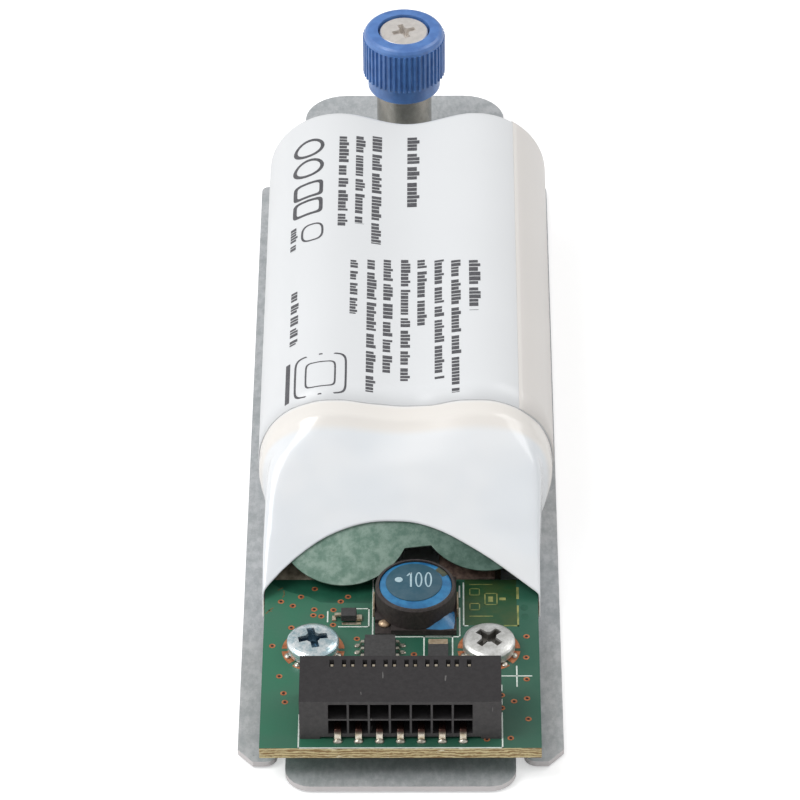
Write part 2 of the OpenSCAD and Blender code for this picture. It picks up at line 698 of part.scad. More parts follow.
// Helix of round wire, swept ring by ring
module captive_spring() color("gray") translate([0, thumb_y, 0]) {
    steps = 12;
    sides = 6;
    z0 = retainer_foot + wire_d / 2 + face_gap;
    z1 = collar_top - collar_t - wire_d / 2 - face_gap;
    m = turns * steps;
    points = [for (k = [0:m], i = [0:sides - 1])
        let (a = 360 * k / steps, b = 360 * i / sides, r = spring_r + wire_d / 2 * cos(b))
        [r * cos(a), r * sin(a), z0 + (z1 - z0) * k / m + wire_d / 2 * sin(b)]];
    wall = [for (k = [0:m - 1], i = [0:sides - 1])
        let (a = k * sides, b = a + sides, j = (i + 1) % sides)
        for (f = [[a + i, a + j, b + i], [a + j, b + j, b + i]]) f];
    start = [for (i = [sides - 1:-1:0]) i];
    end = [for (i = [0:sides - 1]) m * sides + i];
    polyhedron(points, concat(wall, [start, end]), convexity = 10);
}

module captive_screw() color("lightgray") translate([0, thumb_y, 0]) difference() {
    turned([
        [0, 0.3], [thumb_d / 2 - 0.3, 0.3], [thumb_d / 2, 0.6], [thumb_d / 2, thread_len],
        [relief_r, thread_len + 0.35], [relief_r, collar_top - collar_t], [collar_r, collar_top - collar_t],
        [collar_r, collar_top], [shank_r, collar_top], [shank_r, knob_floor + face_gap],
        [thumb_head_d / 2, knob_floor + face_gap], [thumb_head_d / 2, head_top - 0.15],
        [thumb_head_d / 2 - 0.15, head_top], [0, head_top]
    ]);
    translate([0, 0, head_top]) rotate(20) cross_recess(3.3, 0.8, 1.2);
}

module knurl() {
    r = knob_d / 2;
    step = 360 / ridges;
    polygon([for (i = [0:ridges - 1], p = [[0, 0], [0.3, 0], [0.5, 1], [0.8, 1]])
        let (a = (i + p[0]) * step, d = r - groove * p[1]) [d * cos(a), d * sin(a)]]);
}

module thumbscrew_knob() color("royalblue") translate([0, thumb_y, 0]) difference() {
    union() {
        translate([0, 0, knob_z0 + skirt_h]) linear_extrude(knob_h - skirt_h - crown_h) knurl();
        turned([
            [0, knob_z0], [skirt_d / 2 - 0.25, knob_z0], [skirt_d / 2, knob_z0 + 0.25],
            [skirt_d / 2, knob_z0 + skirt_h], [knob_d / 2 - groove - 0.05, knob_z0 + skirt_h],
            [knob_d / 2 - groove - 0.05, knob_z1 - crown_h], [knob_d / 2 - 0.12, knob_z1 - crown_h],
            [knob_d / 2 - 0.2, knob_z1 - 0.6], [knob_d / 2 - 0.42, knob_z1 - 0.25],
            [knob_d / 2 - 0.75, knob_z1 - 0.04], [knob_d / 2 - 1, knob_z1], [0, knob_z1]
        ]);
    }
    translate([0, 0, knob_z0 - 1]) cylinder(h = knob_ceiling - knob_z0 + 1, d = knob_bore, $fn = 64);
    translate([0, 0, knob_z0]) cylinder(h = knob_h, r = shank_r + face_gap, $fn = 48);
    translate([0, 0, knob_floor]) cylinder(h = knob_h, d = head_hole_d, $fn = 64);
}

bracket();
board_standoffs();
circuit_board();
board_screws();
connector_housing();
connector_contacts();
inductor_base();
inductor_shield();
inductor_resin();
inductor_core();
inductor_terminals();
controller_chip();
chip_leads();
diode_body();
diode_leads();
resistor_body();
resistor_caps();
cell_left();
cell_right();
cell_link();
left_cell_tab();
right_cell_tab();
front_insulator();
rear_insulator();
adhesive_pad();
shrink_sleeve();
pack_label();
screw_retainer();
captive_spring();
captive_screw();
thumbscrew_knob();
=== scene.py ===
import json
import math
import random

import bmesh
import bpy
from mathutils import Matrix, Vector, noise


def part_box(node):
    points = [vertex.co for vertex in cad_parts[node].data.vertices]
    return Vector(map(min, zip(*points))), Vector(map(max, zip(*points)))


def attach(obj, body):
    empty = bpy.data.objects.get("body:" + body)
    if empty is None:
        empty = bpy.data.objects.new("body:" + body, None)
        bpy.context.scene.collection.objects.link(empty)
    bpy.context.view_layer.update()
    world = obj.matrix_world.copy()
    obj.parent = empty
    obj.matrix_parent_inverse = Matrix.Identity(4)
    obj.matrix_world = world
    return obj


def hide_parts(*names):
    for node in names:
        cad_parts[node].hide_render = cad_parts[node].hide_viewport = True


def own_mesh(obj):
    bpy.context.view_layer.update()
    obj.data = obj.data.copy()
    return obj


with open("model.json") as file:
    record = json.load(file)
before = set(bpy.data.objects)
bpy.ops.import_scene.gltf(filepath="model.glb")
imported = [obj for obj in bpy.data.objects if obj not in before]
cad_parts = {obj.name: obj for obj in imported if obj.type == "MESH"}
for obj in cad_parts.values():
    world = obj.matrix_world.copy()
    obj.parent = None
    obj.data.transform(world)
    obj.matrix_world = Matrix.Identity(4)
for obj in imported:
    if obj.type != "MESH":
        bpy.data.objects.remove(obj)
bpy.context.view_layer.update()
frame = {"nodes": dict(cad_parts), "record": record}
scene = bpy.context.scene
MM = 0.001
nodes = frame["nodes"]


# ---- camera ----

def aim(pitch, yaw, roll):
    """Camera axes from its pitch below the horizon, its yaw about +Z and its roll, in degrees."""
    turn = Matrix.Rotation(math.radians(yaw), 3, "Z")
    p, r = math.radians(pitch), math.radians(roll)
    forward = turn @ Vector((0, math.cos(p), -math.sin(p)))
    right = turn @ Vector((1, 0, 0))
    up = turn @ Vector((0, math.sin(p), math.cos(p)))
    right, up = (right * math.cos(r) + up * math.sin(r),
                 up * math.cos(r) - right * math.sin(r))
    return Matrix((right, up, -forward)).transposed()


CAMERA_PLACE = (0.004373, -0.504926, 0.41237)
CAMERA_TURN = (39.049, 0.539, -0.45)

camera = bpy.data.objects.new("camera", bpy.data.cameras.new("camera"))
camera.data.sensor_width = 36
camera.data.lens = 220.5
camera.data.clip_start = 0.01
camera.matrix_world = Matrix.Translation(CAMERA_PLACE) @ aim(*CAMERA_TURN).to_4x4()
scene.collection.objects.link(camera)
scene.camera = camera
scene.view_settings.view_transform = "Standard"


def mm_box(node):
    low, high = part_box(node)
    return low / MM, high / MM


screws_lo, screws_hi = mm_box("board_screws")
SCREW_Y = (screws_lo.y + screws_hi.y) / 2
SCREW_X = (screws_hi.x - screws_lo.x) / 2 - (screws_hi.y - screws_lo.y) / 2


# ---- materials ----

def srgb(r, g, b):
    """A colour given as 0 to 255 display values."""
    linear = (((c / 255 + 0.055) / 1.055) ** 2.4 if c > 10 else c / 255 / 12.92
              for c in (r, g, b))
    return (*linear, 1)


class Paint:
    """A procedural material: a Principled shader and the nodes that feed it, in object space."""

    def __init__(self, name, color, rough, metallic=0.0, specular=0.5, coat=0.0, coat_rough=0.1):
        self.mat = bpy.data.materials.new(name)
        self.mat.use_nodes = True
        self.tree = self.mat.node_tree
        self.bsdf = self.tree.nodes["Principled BSDF"]
        self.place = self.new("ShaderNodeTexCoord").outputs["Object"]
        self.set("Base Color", color)
        self.set("Roughness", rough)
        self.set("Metallic", metallic)
        self.set("Specular IOR Level", specular)
        self.set("Coat Weight", coat)
        self.set("Coat Roughness", coat_rough)
        self.mat.diffuse_color = color

    def new(self, kind, **values):
        node = self.tree.nodes.new(kind)
        for key, value in values.items():
            setattr(node, key, value)
        return node

    def set(self, socket, value):
        self.bsdf.inputs[socket].default_value = value

    def link(self, a, b):
        self.tree.links.new(a, b)

    def noise(self, scale, detail=3.0, rough=0.5, stretch=(1, 1, 1)):
        """Noise with features about 1 / scale metres across."""
        turn = self.new("ShaderNodeMapping")
        turn.inputs["Scale"].default_value = stretch
        self.link(self.place, turn.inputs["Vector"])
        node = self.new("ShaderNodeTexNoise")
        node.inputs["Scale"].default_value = scale
        node.inputs["Detail"].default_value = detail
        node.inputs["Roughness"].default_value = rough
        self.link(turn.outputs[0], node.inputs["Vector"])
        return node.outputs["Fac"]

    def spread(self, value, low, high, to_low=0.0, to_high=1.0):
        node = self.new("ShaderNodeMapRange", interpolation_type="SMOOTHSTEP")
        keys = "From Min", "From Max", "To Min", "To Max"
        for key, number in zip(keys, (low, high, to_low, to_high)):
            node.inputs[key].default_value = number
        self.link(value, node.inputs["Value"])
        return node.outputs["Result"]

    def math(self, how, a, b):
        node = self.new("ShaderNodeMath", operation=how)
        for socket, value in zip(node.inputs, (a, b)):
            if isinstance(value, (int, float)):
                socket.default_value = value
            else:
                self.link(value, socket)
        return node.outputs[0]

    def axis(self, letter):
        node = self.new("ShaderNodeSeparateXYZ")
        self.link(self.place, node.inputs[0])
        return node.outputs[letter]

    def facing(self, letter):
        node = self.new("ShaderNodeSeparateXYZ")
        self.link(self.new("ShaderNodeNewGeometry").outputs["True Normal"], node.inputs[0])
        return node.outputs[letter]

    def mix(self, factor, a, b):
        node = self.new("ShaderNodeMix", data_type="RGBA")
        self.link(factor, node.inputs["Factor"])
        for socket, value in ((node.inputs[6], a), (node.inputs[7], b)):
            if isinstance(value, tuple):
                socket.default_value = value
            else:
                self.link(value, socket)
        return node.outputs[2]

    def color(self, value):
        self.link(value, self.bsdf.inputs["Base Color"])
        return self

    def rough(self, value):
        self.link(value, self.bsdf.inputs["Roughness"])
        return self

    def bump(self, height, distance, strength=1.0):
        """Bump whose full height is a distance in millimetres."""
        node = self.new("ShaderNodeBump")
        node.inputs["Distance"].default_value = distance * MM
        node.inputs["Strength"].default_value = strength
        self.link(height, node.inputs["Height"])
        self.link(node.outputs[0], self.bsdf.inputs["Normal"])
        return self


def mottled(name, low, high, rough, scale, bump=0.0, **more):
    """A material whose colour wanders between two, with a matching fine bump."""
    p = Paint(name, high, rough, **more)
    p.color(p.mix(p.spread(p.noise(scale, 4, 0.6), 0.3, 0.7), low, high))
    if bump:
        p.bump(p.noise(scale * 2.5, 2), bump)
    return p


def galvanised():
    """Zinc-coated sheet: fine uneven spangle, a few scuffs, and a painted highlight on its cut edges."""
    p = Paint("galvanised_sheet", srgb(196, 199, 201), 0.5, metallic=0.45)
    tone = p.math("ADD", p.math("MULTIPLY", p.noise(420, 6, 0.72), 0.5),
                  p.math("MULTIPLY", p.noise(1500, 5, 0.75, (1, 0.5, 1)), 0.5))
    face = p.mix(p.spread(tone, 0.36, 0.64), srgb(176, 181, 183), srgb(207, 209, 211))
    scuff = p.math("MULTIPLY", p.spread(p.noise(1900, 3, 0.8, (1, 0.35, 1)), 0.68, 0.76), 0.5)
    face = p.mix(scuff, face, srgb(140, 146, 146))
    # painted highlight: the cut edges, the faces that look neither up nor down, are painted lighter
    edge = p.spread(p.math("ABSOLUTE", p.facing("Z"), 0), 0.3, 0.7, 1, 0)
    p.color(p.mix(edge, face, srgb(216, 212, 212)))
    p.rough(p.spread(p.noise(700, 4, 0.7), 0.2, 0.8, 0.42, 0.58))
    return p.bump(p.noise(2600, 4, 0.7), 0.012)


def laminate():
    """Green solder mask above and below, woven glass and resin layers on the cut edges."""
    p = Paint("green_laminate", srgb(52, 108, 86), 0.34, coat=0.2, coat_rough=0.2)
    left = p.spread(p.axis("X"), -0.017, 0.004)
    mask = p.mix(left, srgb(46, 110, 84), srgb(38, 88, 70))
    cloud = p.math("MULTIPLY", p.spread(p.noise(140, 3), 0.35, 0.65), 0.45)
    mask = p.mix(cloud, mask, srgb(62, 102, 84))
    ripple = p.math("ADD", p.axis("Z"),
                    p.math("MULTIPLY", p.noise(520, 5, 0.75, (0.3, 0.3, 1)), 0.0016))
    wave = p.math("SINE", p.math("MULTIPLY", ripple, 2 * math.pi / 0.00042), 0)
    layers = p.mix(p.spread(wave, -0.9, 0.9), srgb(140, 110, 62), srgb(208, 192, 142))
    threads = p.spread(p.noise(1500, 3, 0.7, (0.3, 0.3, 1)), 0.6, 0.72)
    layers = p.mix(threads, layers, srgb(232, 224, 196))
    up = p.math("ABSOLUTE", p.facing("Z"), 0)
    p.color(p.mix(p.spread(up, 0.3, 0.6), layers, mask))
    return p.bump(p.noise(2200, 2), 0.01)


def zinc():
    """Bright zinc: bluish on the left screw, worn and warmer on the right one."""
    p = Paint("zinc_plate", srgb(222, 228, 230), 0.3, metallic=0.75)
    side = p.spread(p.axis("X"), -0.001, 0.001)
    stain = p.spread(p.noise(800, 4, 0.7), 0.35, 0.65)
    blue = p.mix(stain, srgb(176, 200, 208), srgb(236, 242, 244))
    grey = p.mix(stain, srgb(196, 196, 192), srgb(228, 228, 226))
    pits = p.spread(p.noise(3600, 3, 0.7), 0.66, 0.72)
    grey = p.mix(p.math("MULTIPLY", pits, 0.6), grey, srgb(110, 108, 104))
    reach = p.math("SUBTRACT", p.math("ABSOLUTE", p.axis("X"), 0), SCREW_X * MM)
    along = p.math("SUBTRACT", p.axis("Y"), SCREW_Y * MM)
    off = p.math("SQRT", p.math("ADD", p.math("MULTIPLY", reach, reach),
                                p.math("MULTIPLY", along, along)), 0)
    # painted shade: the cross recess of each head is painted darker, bluish on the left screw and grey on the
    # right
    inside = p.math("MULTIPLY", p.spread(off, 0.00175, 0.00195, 1, 0),
                    p.spread(p.axis("Z"), 0.0070, 0.00735, 1, 0))
    recess_shade = p.mix(side, srgb(84, 112, 130), srgb(120, 118, 114))
    p.color(p.mix(inside, p.mix(side, blue, grey), recess_shade))
    p.rough(p.mix(side, (0.2, 0.2, 0.2, 1), (0.36, 0.36, 0.36, 1)))
    return p.bump(p.noise(1300, 3), 0.03)


def contact_metal():
    """Tinned tails, bright outside the socket, with painted shade in dark reddish on their part within it."""
    p = Paint("socket_contact", srgb(226, 214, 192), 0.24, metallic=0.8)
    bright = p.mix(p.spread(p.noise(1500, 3), 0.3, 0.7), srgb(214, 200, 172), srgb(250, 242, 228))
    # painted shade: above this height each tail is painted dark reddish, where the socket shades it
    inside = p.spread(p.axis("Z"), 0.00610, 0.00675)
    p.color(p.mix(inside, bright, srgb(70, 46, 40)))
    return p.bump(p.noise(1300, 2), 0.01)


def nylon():
    """Black moulded nylon with fine scratches, its front painted greyer than its top as painted light."""
    p = Paint("black_nylon", srgb(62, 60, 61), 0.7, specular=0.25)
    # painted light: faces that look up are painted darker than the front faces, as the light falls on them
    up = p.spread(p.facing("Z"), 0.3, 0.7)
    grain = p.spread(p.noise(1600, 4, 0.7), 0.3, 0.7)
    front = p.mix(grain, srgb(72, 70, 71), srgb(82, 80, 80))
    top = p.mix(grain, srgb(47, 45, 46), srgb(54, 52, 53))
    body = p.mix(up, front, top)
    scratch = p.spread(p.noise(260, 2, 0.5, (6, 1, 1)), 0.735, 0.75)
    p.color(p.mix(p.math("MULTIPLY", scratch, 0.35), body, srgb(150, 148, 146)))
    return p.bump(p.noise(2400, 3), 0.012)


def knob_plastic():
    """Blue moulded plastic under a soft sheen."""
    p = Paint("blue_knob", srgb(80, 124, 190), 0.36, specular=0.6, coat=0.6, coat_rough=0.3)
    p.color(p.mix(p.spread(p.noise(700, 4), 0.3, 0.7), srgb(66, 110, 176), srgb(84, 130, 196)))
    return p.bump(p.noise(1800, 3), 0.012)


def fibre():
    """Grey-green fibre paper, darker towards the right, where the mouth shades it."""
    p = Paint("fibre_paper", srgb(125, 148, 134), 0.75)
    tone = p.mix(p.spread(p.noise(650, 6, 0.7), 0.35, 0.65), srgb(98, 128, 114), srgb(140, 162, 150))
    shade = p.mix(p.spread(p.axis("X"), -0.008, 0.011), (1, 1, 1, 1), (0.3, 0.4, 0.38, 1))
    both = p.new("ShaderNodeMix", data_type="RGBA", blend_type="MULTIPLY")
    both.inputs["Factor"].default_value = 1
    p.link(tone, both.inputs[6])
    p.link(shade, both.inputs[7])
    p.color(both.outputs[2])
    return p.bump(p.noise(2500, 4), 0.02)


def film_paint(warm_from, warm_to):
    """Shrunk white film, a little yellow where it is tight over the cells' rims."""
    p = Paint("white_film", srgb(228, 231, 234), 0.22, coat=0.5, coat_rough=0.08)
    warm = p.math("MULTIPLY", p.spread(p.axis("Y"), warm_from, warm_from + 0.0012),
                  p.spread(p.axis("Y"), warm_to, warm_to + 0.0012, 1, 0))
    cloud = p.mix(p.spread(p.noise(90, 2), 0.35, 0.65), srgb(225, 229, 233), srgb(233, 235, 237))
    p.color(p.mix(p.math("MULTIPLY", warm, 0.7), cloud, srgb(233, 226, 217)))
    return p.bump(p.noise(160, 2), 0.05)


def label_paint(name, color):
    """Satin label film in one colour that hardly varies."""
    p = Paint(name, color, 0.34, coat=0.15, coat_rough=0.25)
    r, g, b, _ = color
    duller = (r * 0.985, g * 0.985, b * 0.985, 1)
    p.color(p.mix(p.spread(p.noise(60, 2), 0.3, 0.7), duller, color))
    return p.bump(p.noise(300, 2), 0.008)


PAINTS = {
    "galvanised_sheet": galvanised(),
    "zinc_plate": zinc(),
    "nickel_plate": mottled("nickel_plate", srgb(222, 217, 212), srgb(236, 231, 226),
                            0.42, 1200, 0.004, metallic=0.6),
    "spring_steel": mottled("spring_steel", srgb(110, 110, 112), srgb(140, 140, 142),
                            0.35, 900, metallic=0.9),
    "green_laminate": laminate(),
    "black_nylon": nylon(),
    "tinned_bronze": mottled("tinned_bronze", srgb(188, 170, 140), srgb(226, 216, 198),
                             0.28, 1500, 0.01, metallic=0.85),
    "ferrite_dark": mottled("ferrite_dark", srgb(44, 38, 37), srgb(62, 55, 53), 0.6, 2200, 0.02),
    "ferrite_face": mottled("ferrite_face", srgb(44, 82, 98), srgb(62, 92, 106),
                            0.45, 700, 0.01, specular=0.3),
    "blue_resin": mottled("blue_resin", srgb(28, 92, 138), srgb(48, 124, 172), 0.3, 500, 0.02, coat=0.2),
    "solder_tin": mottled("solder_tin", srgb(170, 164, 150), srgb(222, 216, 204),
                          0.3, 1500, 0.02, metallic=0.85),
    "black_epoxy": mottled("black_epoxy", srgb(50, 49, 49), srgb(62, 61, 61), 0.6, 2500, 0.01),
    "tan_terminal": mottled("tan_terminal", srgb(150, 132, 108), srgb(186, 170, 146),
                            0.45, 1200, 0.02, metallic=0.4),
    "nickel_strip": mottled("nickel_strip", srgb(160, 150, 134), srgb(196, 188, 172),
                            0.35, 700, 0.02, metallic=0.8),
    "cell_wrap": mottled("cell_wrap", srgb(34, 98, 92), srgb(42, 112, 106), 0.3, 300),
    "fibre_paper": fibre(),
    "foam_tape": mottled("foam_tape", srgb(214, 214, 210), srgb(230, 230, 226), 0.9, 1200, 0.05),
    "blue_knob": knob_plastic(),
    "white_film": film_paint(-0.0262, -0.0222),
    "label_film": label_paint("label_film", srgb(224, 226, 228)),
    "label_lap": label_paint("label_lap", srgb(224, 220, 216)),
    "warm_solder": mottled("warm_solder", srgb(120, 90, 66), srgb(226, 198, 164),
                           0.35, 900, 0.05, metallic=0.5),
    "dark_nickel": mottled("dark_nickel", srgb(150, 146, 138), srgb(166, 162, 154),
                           0.2, 900, 0.004, metallic=1.0),
    "socket_contact": contact_metal(),
    "resin_gap": mottled("resin_gap", srgb(46, 62, 56), srgb(84, 84, 60), 0.6, 1500),
    # painted shade: a dark brown for the right nickel strip, which lies in shade
    "shaded_tab": mottled("shaded_tab", srgb(66, 48, 42), srgb(120, 100, 88), 0.5, 1100, 0.03),
    "ink": mottled("ink", srgb(74, 74, 78), srgb(92, 92, 96), 0.5, 2500),
    "silk": mottled("silk", srgb(200, 210, 202), srgb(226, 232, 226), 0.6, 2500),
    "pale_print": mottled("pale_print", srgb(150, 178, 188), srgb(174, 196, 204), 0.5, 2500),
    "dirt": mottled("dirt", srgb(96, 84, 52), srgb(128, 104, 66), 0.8, 2500),
    "silk_old": mottled("silk_old", srgb(96, 112, 62), srgb(150, 148, 88), 0.6, 900),
    "copper": mottled("copper", srgb(158, 88, 52), srgb(206, 134, 92), 0.42, 1500, 0.01, metallic=0.4),
    # painted shade: the dark colour of the via holes
    "hole": mottled("hole", srgb(30, 16, 12), srgb(46, 24, 18), 0.7, 2500),
    "bare_laminate": mottled("bare_laminate", srgb(34, 74, 46), srgb(58, 78, 44), 0.35, 420),
    "shade_mask": mottled("shade_mask", srgb(26, 76, 58), srgb(34, 88, 68), 0.35, 500, coat=0.2),
    "dull_tab": mottled("dull_tab", srgb(118, 108, 92), srgb(176, 166, 148), 0.55, 900, 0.03, metallic=0.2),
}

for entry in frame["record"]["subparts"]:
    node = nodes[entry["node"]]
    for s in node.material_slots:
        s.material = PAINTS[entry["material_slot"]].mat
for s in nodes["screw_retainer"].material_slots:
    s.material = PAINTS["dark_nickel"].mat


# ---- helpers for shapes, in millimetres ----

def piece(name, points, faces, paint, body="module", smooth=True, replaces=()):
    mesh = bpy.data.meshes.new(name)
    mesh.from_pydata([Vector(p) * MM for p in points], [], faces)
    mesh.validate()
    bm = bmesh.new()
    bm.from_mesh(mesh)
    bmesh.ops.remove_doubles(bm, verts=bm.verts, dist=0.002 * MM)
    bmesh.ops.recalc_face_normals(bm, faces=bm.faces)
    bm.to_mesh(mesh)
    bm.free()
    for poly in mesh.polygons:
        poly.use_smooth = smooth
    obj = bpy.data.objects.new(name, mesh)
    scene.collection.objects.link(obj)
    mesh.materials.append(PAINTS[paint].mat)
    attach(obj, body)
    if replaces:
        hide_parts(*replaces)
    return obj


def apply(obj):
    """Bakes the modifiers of a piece into its mesh."""
    depsgraph = bpy.context.evaluated_depsgraph_get()
    mesh = bpy.data.meshes.new_from_object(obj.evaluated_get(depsgraph))
    obj.modifiers.clear()
    obj.data = mesh


def solid(obj, thickness, offset=-1.0):
    m = obj.modifiers.new("wall", "SOLIDIFY")
    m.thickness = thickness * MM
    m.offset = offset
    m.use_even_offset = True
    apply(obj)


def chamfer(name, width, segments=2, angle=35):
    m = nodes[name].modifiers.new("edge", "BEVEL")
    m.width = width * MM
    m.segments = segments
    m.limit_method = "ANGLE"
    m.angle_limit = math.radians(angle)
    m.harden_normals = True


def grid_faces(rows, n, start=0, closed=True):
    """Quads between rows of n points each, closed into tubes or left open."""
    return [(start + k * n + i, start + k * n + (i + 1) % n,
             start + (k + 1) * n + (i + 1) % n, start + (k + 1) * n + i)
            for k in range(rows - 1) for i in range(n if closed else n - 1)]


def ramp(t):
    """Eased step from 0 to 1."""
    t = min(max(t, 0.0), 1.0)
    return t * t * (3 - 2 * t)


# ---- sizes taken from the frame ----

board_hi = mm_box("circuit_board")[1]
left_lo, left_hi = mm_box("cell_left")
right_lo, right_hi = mm_box("cell_right")
label_lo, label_hi = mm_box("pack_label")
BOARD_HALF, BOARD_REAR, BOARD_TOP = board_hi
CELL_R = (left_hi.z - left_lo.z) / 2
CELL_Z = (left_hi.z + left_lo.z) / 2
CELLS_FRONT = left_lo.y
PITCH = (right_lo.x + right_hi.x - left_lo.x - left_hi.x) / 2
PACK_X = (right_lo.x + right_hi.x + left_lo.x + left_hi.x) / 4
FILM_R = CELL_R + 0.25
PACK_HALF = PITCH / 2 + FILM_R
FILM_Z0, FILM_Z1 = CELL_Z - FILM_R, CELL_Z + FILM_R
LABEL_FRONT, FOLD_Y = label_lo.y, label_hi.y
SLEEVE_FRONT = mm_box("shrink_sleeve")[0].y
FILM_WALL = 0.2
VALLEY = 1.1  # depth of the valley between the cells
CURL = 1.5  # radius of the curl at the rear
# The neck's upper side is a line from over the board's rear edge to the cells' front
NECK_Y, NECK_Z = BOARD_REAR - 2.85, BOARD_TOP + 1.6
NECK_SLOPE = (FILM_Z1 - FILM_WALL - NECK_Z) / (CELLS_FRONT - NECK_Y)
# Height of the outer face over the film, and wall, of the label and of its lap
LABEL_LIFT, LABEL_WALL = 0.14, 0.11
LAP_LIFT, LAP_WALL = 0.24, 0.09
SEAM_X = 14.6  # where the lap's seam lies
SEAM_WAVE = 0.25  # how far the label's front edge wanders
PIN_PITCH, PINS = 2.54, 7
CHIP_PITCH = 1.27


# ---- sleeve ----

CAPS, FLATS = 44, 26  # steps round each side of the pack, and across its top and its bottom
AROUND = 2 * (CAPS + FLATS)


def ring_point(i, xc, hw, z0, z1, dip, sq):
    """Point i of the closed outline round the pack, anticlockwise from the lower right.

    xc is its middle, hw its half width, z0 and z1 its bottom and top, dip the depth of the
    valley in its top, and sq the power of its sides: 2 is round, more is squarer.
    """
    r, zc = (z1 - z0) / 2, (z0 + z1) / 2
    w = hw - r
    i %= AROUND
    side = 1
    if i >= CAPS + FLATS:
        i, side = i - CAPS - FLATS, -1
    if i <= CAPS:
        a = math.pi * (i / CAPS - 0.5)
        c, s = math.cos(a), math.sin(a)
        x = w + r * abs(c) ** (2 / sq)
        z = r * math.copysign(abs(s) ** (2 / sq), s)
        return xc + side * x, zc + side * z
    u = 1 - 2 * (i - CAPS) / FLATS
    x = xc + side * w * u
    if side > 0:
        return x, z1 - dip * (1 + math.cos(math.pi * u)) / 2
    return x, z0


def valley(y):
    """Depth of the valley between the cells, deeper where the wrap closes at the rear."""
    return VALLEY + 0.75 * ramp((y - FOLD_Y + 5) / 5.5)


def film_point(i, y, inset=0.0):
    """Point i of the film's ring at y: squarish over the board, two round lobes over the cells."""
    t = (y - BOARD_REAR) / (CELLS_FRONT - BOARD_REAR)
    line = NECK_Z + (y - NECK_Y) * NECK_SLOPE
    soft = 0.3
    if line >= FILM_Z1 - soft:
        line = FILM_Z1 - soft * math.exp(-(line - FILM_Z1 + soft) / soft)
    top = max(line, BOARD_TOP + 0.75)
    half_board = BOARD_HALF + 0.3
    base = BOARD_TOP - 1.6 - 0.5
    return ring_point(
        i, PACK_X * ramp(t),
        half_board + (PACK_HALF - half_board) * ramp((t - 0.78) / 0.22) - inset,
        base + (FILM_Z0 - base) * ramp(t) + inset, top - inset,
        valley(y) * ramp((t - 0.62) / 0.38), 8 - 6 * ramp((t - 0.5) / 0.5))


def mouth_y(x):
    """The mouth's edge over the board: a deepening sag on the left, a straight cut on the right."""
    u = max(0, -x - 1.5) / (BOARD_HALF - 1.5)
    v = max(0, x) / BOARD_HALF
    bow = 2.2
    drop = 7.1 * (0.73 * u * u + 0.27 * u ** 3)
    drop += 7.5 * (math.sqrt(1 + bow * bow * v * v) - 1) / (math.sqrt(1 + bow * bow) - 1)
    return BOARD_REAR + 3.8 - drop


def wrinkle(x, y, z):
    """Small uneven sag of the shrunk film where nothing backs it."""
    free = ramp((y - BOARD_REAR + 3) / 4) * ramp((CELLS_FRONT + 0.5 - y) / 3)
    p = Vector((x * 0.09, y * 0.16, z * 0.09))
    return free * (0.5 * noise.noise(p + Vector((3.1, 0.7, 1.9))) + 0.22 * noise.noise(p * 2.3))


def sleeve():
    """The film as one tube: wrinkled neck, straight body, curl and puckered rear flap."""
    n = AROUND
    starts = []
    for i in range(n):
        y = BOARD_REAR
        for _ in range(12):
            x, z = film_point(i, y)
            lift = ramp((z - BOARD_TOP + 1.8) / 1.6)
            y += (SLEEVE_FRONT + (mouth_y(x) - SLEEVE_FRONT) * lift - y) * 0.7
        starts.append(y)
    rows = 56
    rings = []
    for k in range(rows + 1):
        s = k / rows
        ring = []
        for i in range(n):
            y = starts[i] + (CELLS_FRONT + 2 - starts[i]) * s
            x, z = film_point(i, y)
            d = wrinkle(x, y, z) if z > BOARD_TOP + 0.5 else 0
            ring.append((x, y, z + d * 0.5))
        rings.append(ring)
    for y in (CELLS_FRONT + 6, 0, *(FOLD_Y - 5 + k for k in range(5))):
        rings.append([(*film_point(i, y)[:1], y, film_point(i, y)[1]) for i in range(n)])
    for k in range(11):
        a = math.pi / 2 * k / 10
        y, inset = FOLD_Y + CURL * math.sin(a), CURL * (1 - math.cos(a))
        rings.append([(film_point(i, y, inset)[0], y, film_point(i, y, inset)[1]) for i in range(n)])
    for k in (0.3, 0.6, 0.85, 1):
        inset = CURL + 1.35 * k
        ring = []
        for i in range(n):
            x, z = film_point(i, y, inset)
            pucker = 0.12 * k * math.sin(i * 2 * math.pi / n * 17) * (0.6 + 0.4 * math.sin(i * 0.9))
            ring.append((x, y - abs(pucker) * 0.5, z))
        rings.append(ring)
    points = [p for ring in rings for p in ring]
    obj = piece("shrink_film", points, grid_faces(len(rings), n), "white_film",
                replaces=["shrink_sleeve"])
    solid(obj, FILM_WALL)


sleeve()


# ---- label ----

def label_height(x, y, offset):
    """Height of the label's top surface."""
    w, r = PITCH / 2, FILM_R + offset
    u = (x - PACK_X) / w
    if abs(u) <= 1:
        return CELL_Z + r - valley(y) * (1 + math.cos(math.pi * u)) / 2
    return CELL_Z + math.sqrt(max(r * r - (abs(x - PACK_X) - w) ** 2, 0))


def label_rings(indices, offset, y0, y1, wave=0.0, curl=38):
    """Strips of the label that follow the film from y0, and bend over its rear curl."""
    rings = []
    steps = [y0 + (y1 - y0) * k / 14 for k in range(15)]
    for n_row, y in enumerate(steps):
        ring = []
        for i in indices:
            x, z = ring_point(i, PACK_X, PACK_HALF + offset, FILM_Z0 - offset, FILM_Z1 + offset,
                              valley(y), 2)
            edge = wave * noise.noise(Vector((x * 0.35, z * 0.35, 2.0))) if n_row == 0 else 0
            ring.append((x, y + edge, z))
        rings.append(ring)
    for k in range(1, 6):
        a = math.radians(curl) * k / 5
        inset = (CURL + offset) * (1 - math.cos(a)) - offset
        y = FOLD_Y + (CURL + offset) * math.sin(a)
        rings.append([(p[0], y, p[1]) for p in
                      (ring_point(i, PACK_X, PACK_HALF - inset, FILM_Z0 + inset, FILM_Z1 - inset,
                                  valley(y), 2) for i in indices)])
    return rings


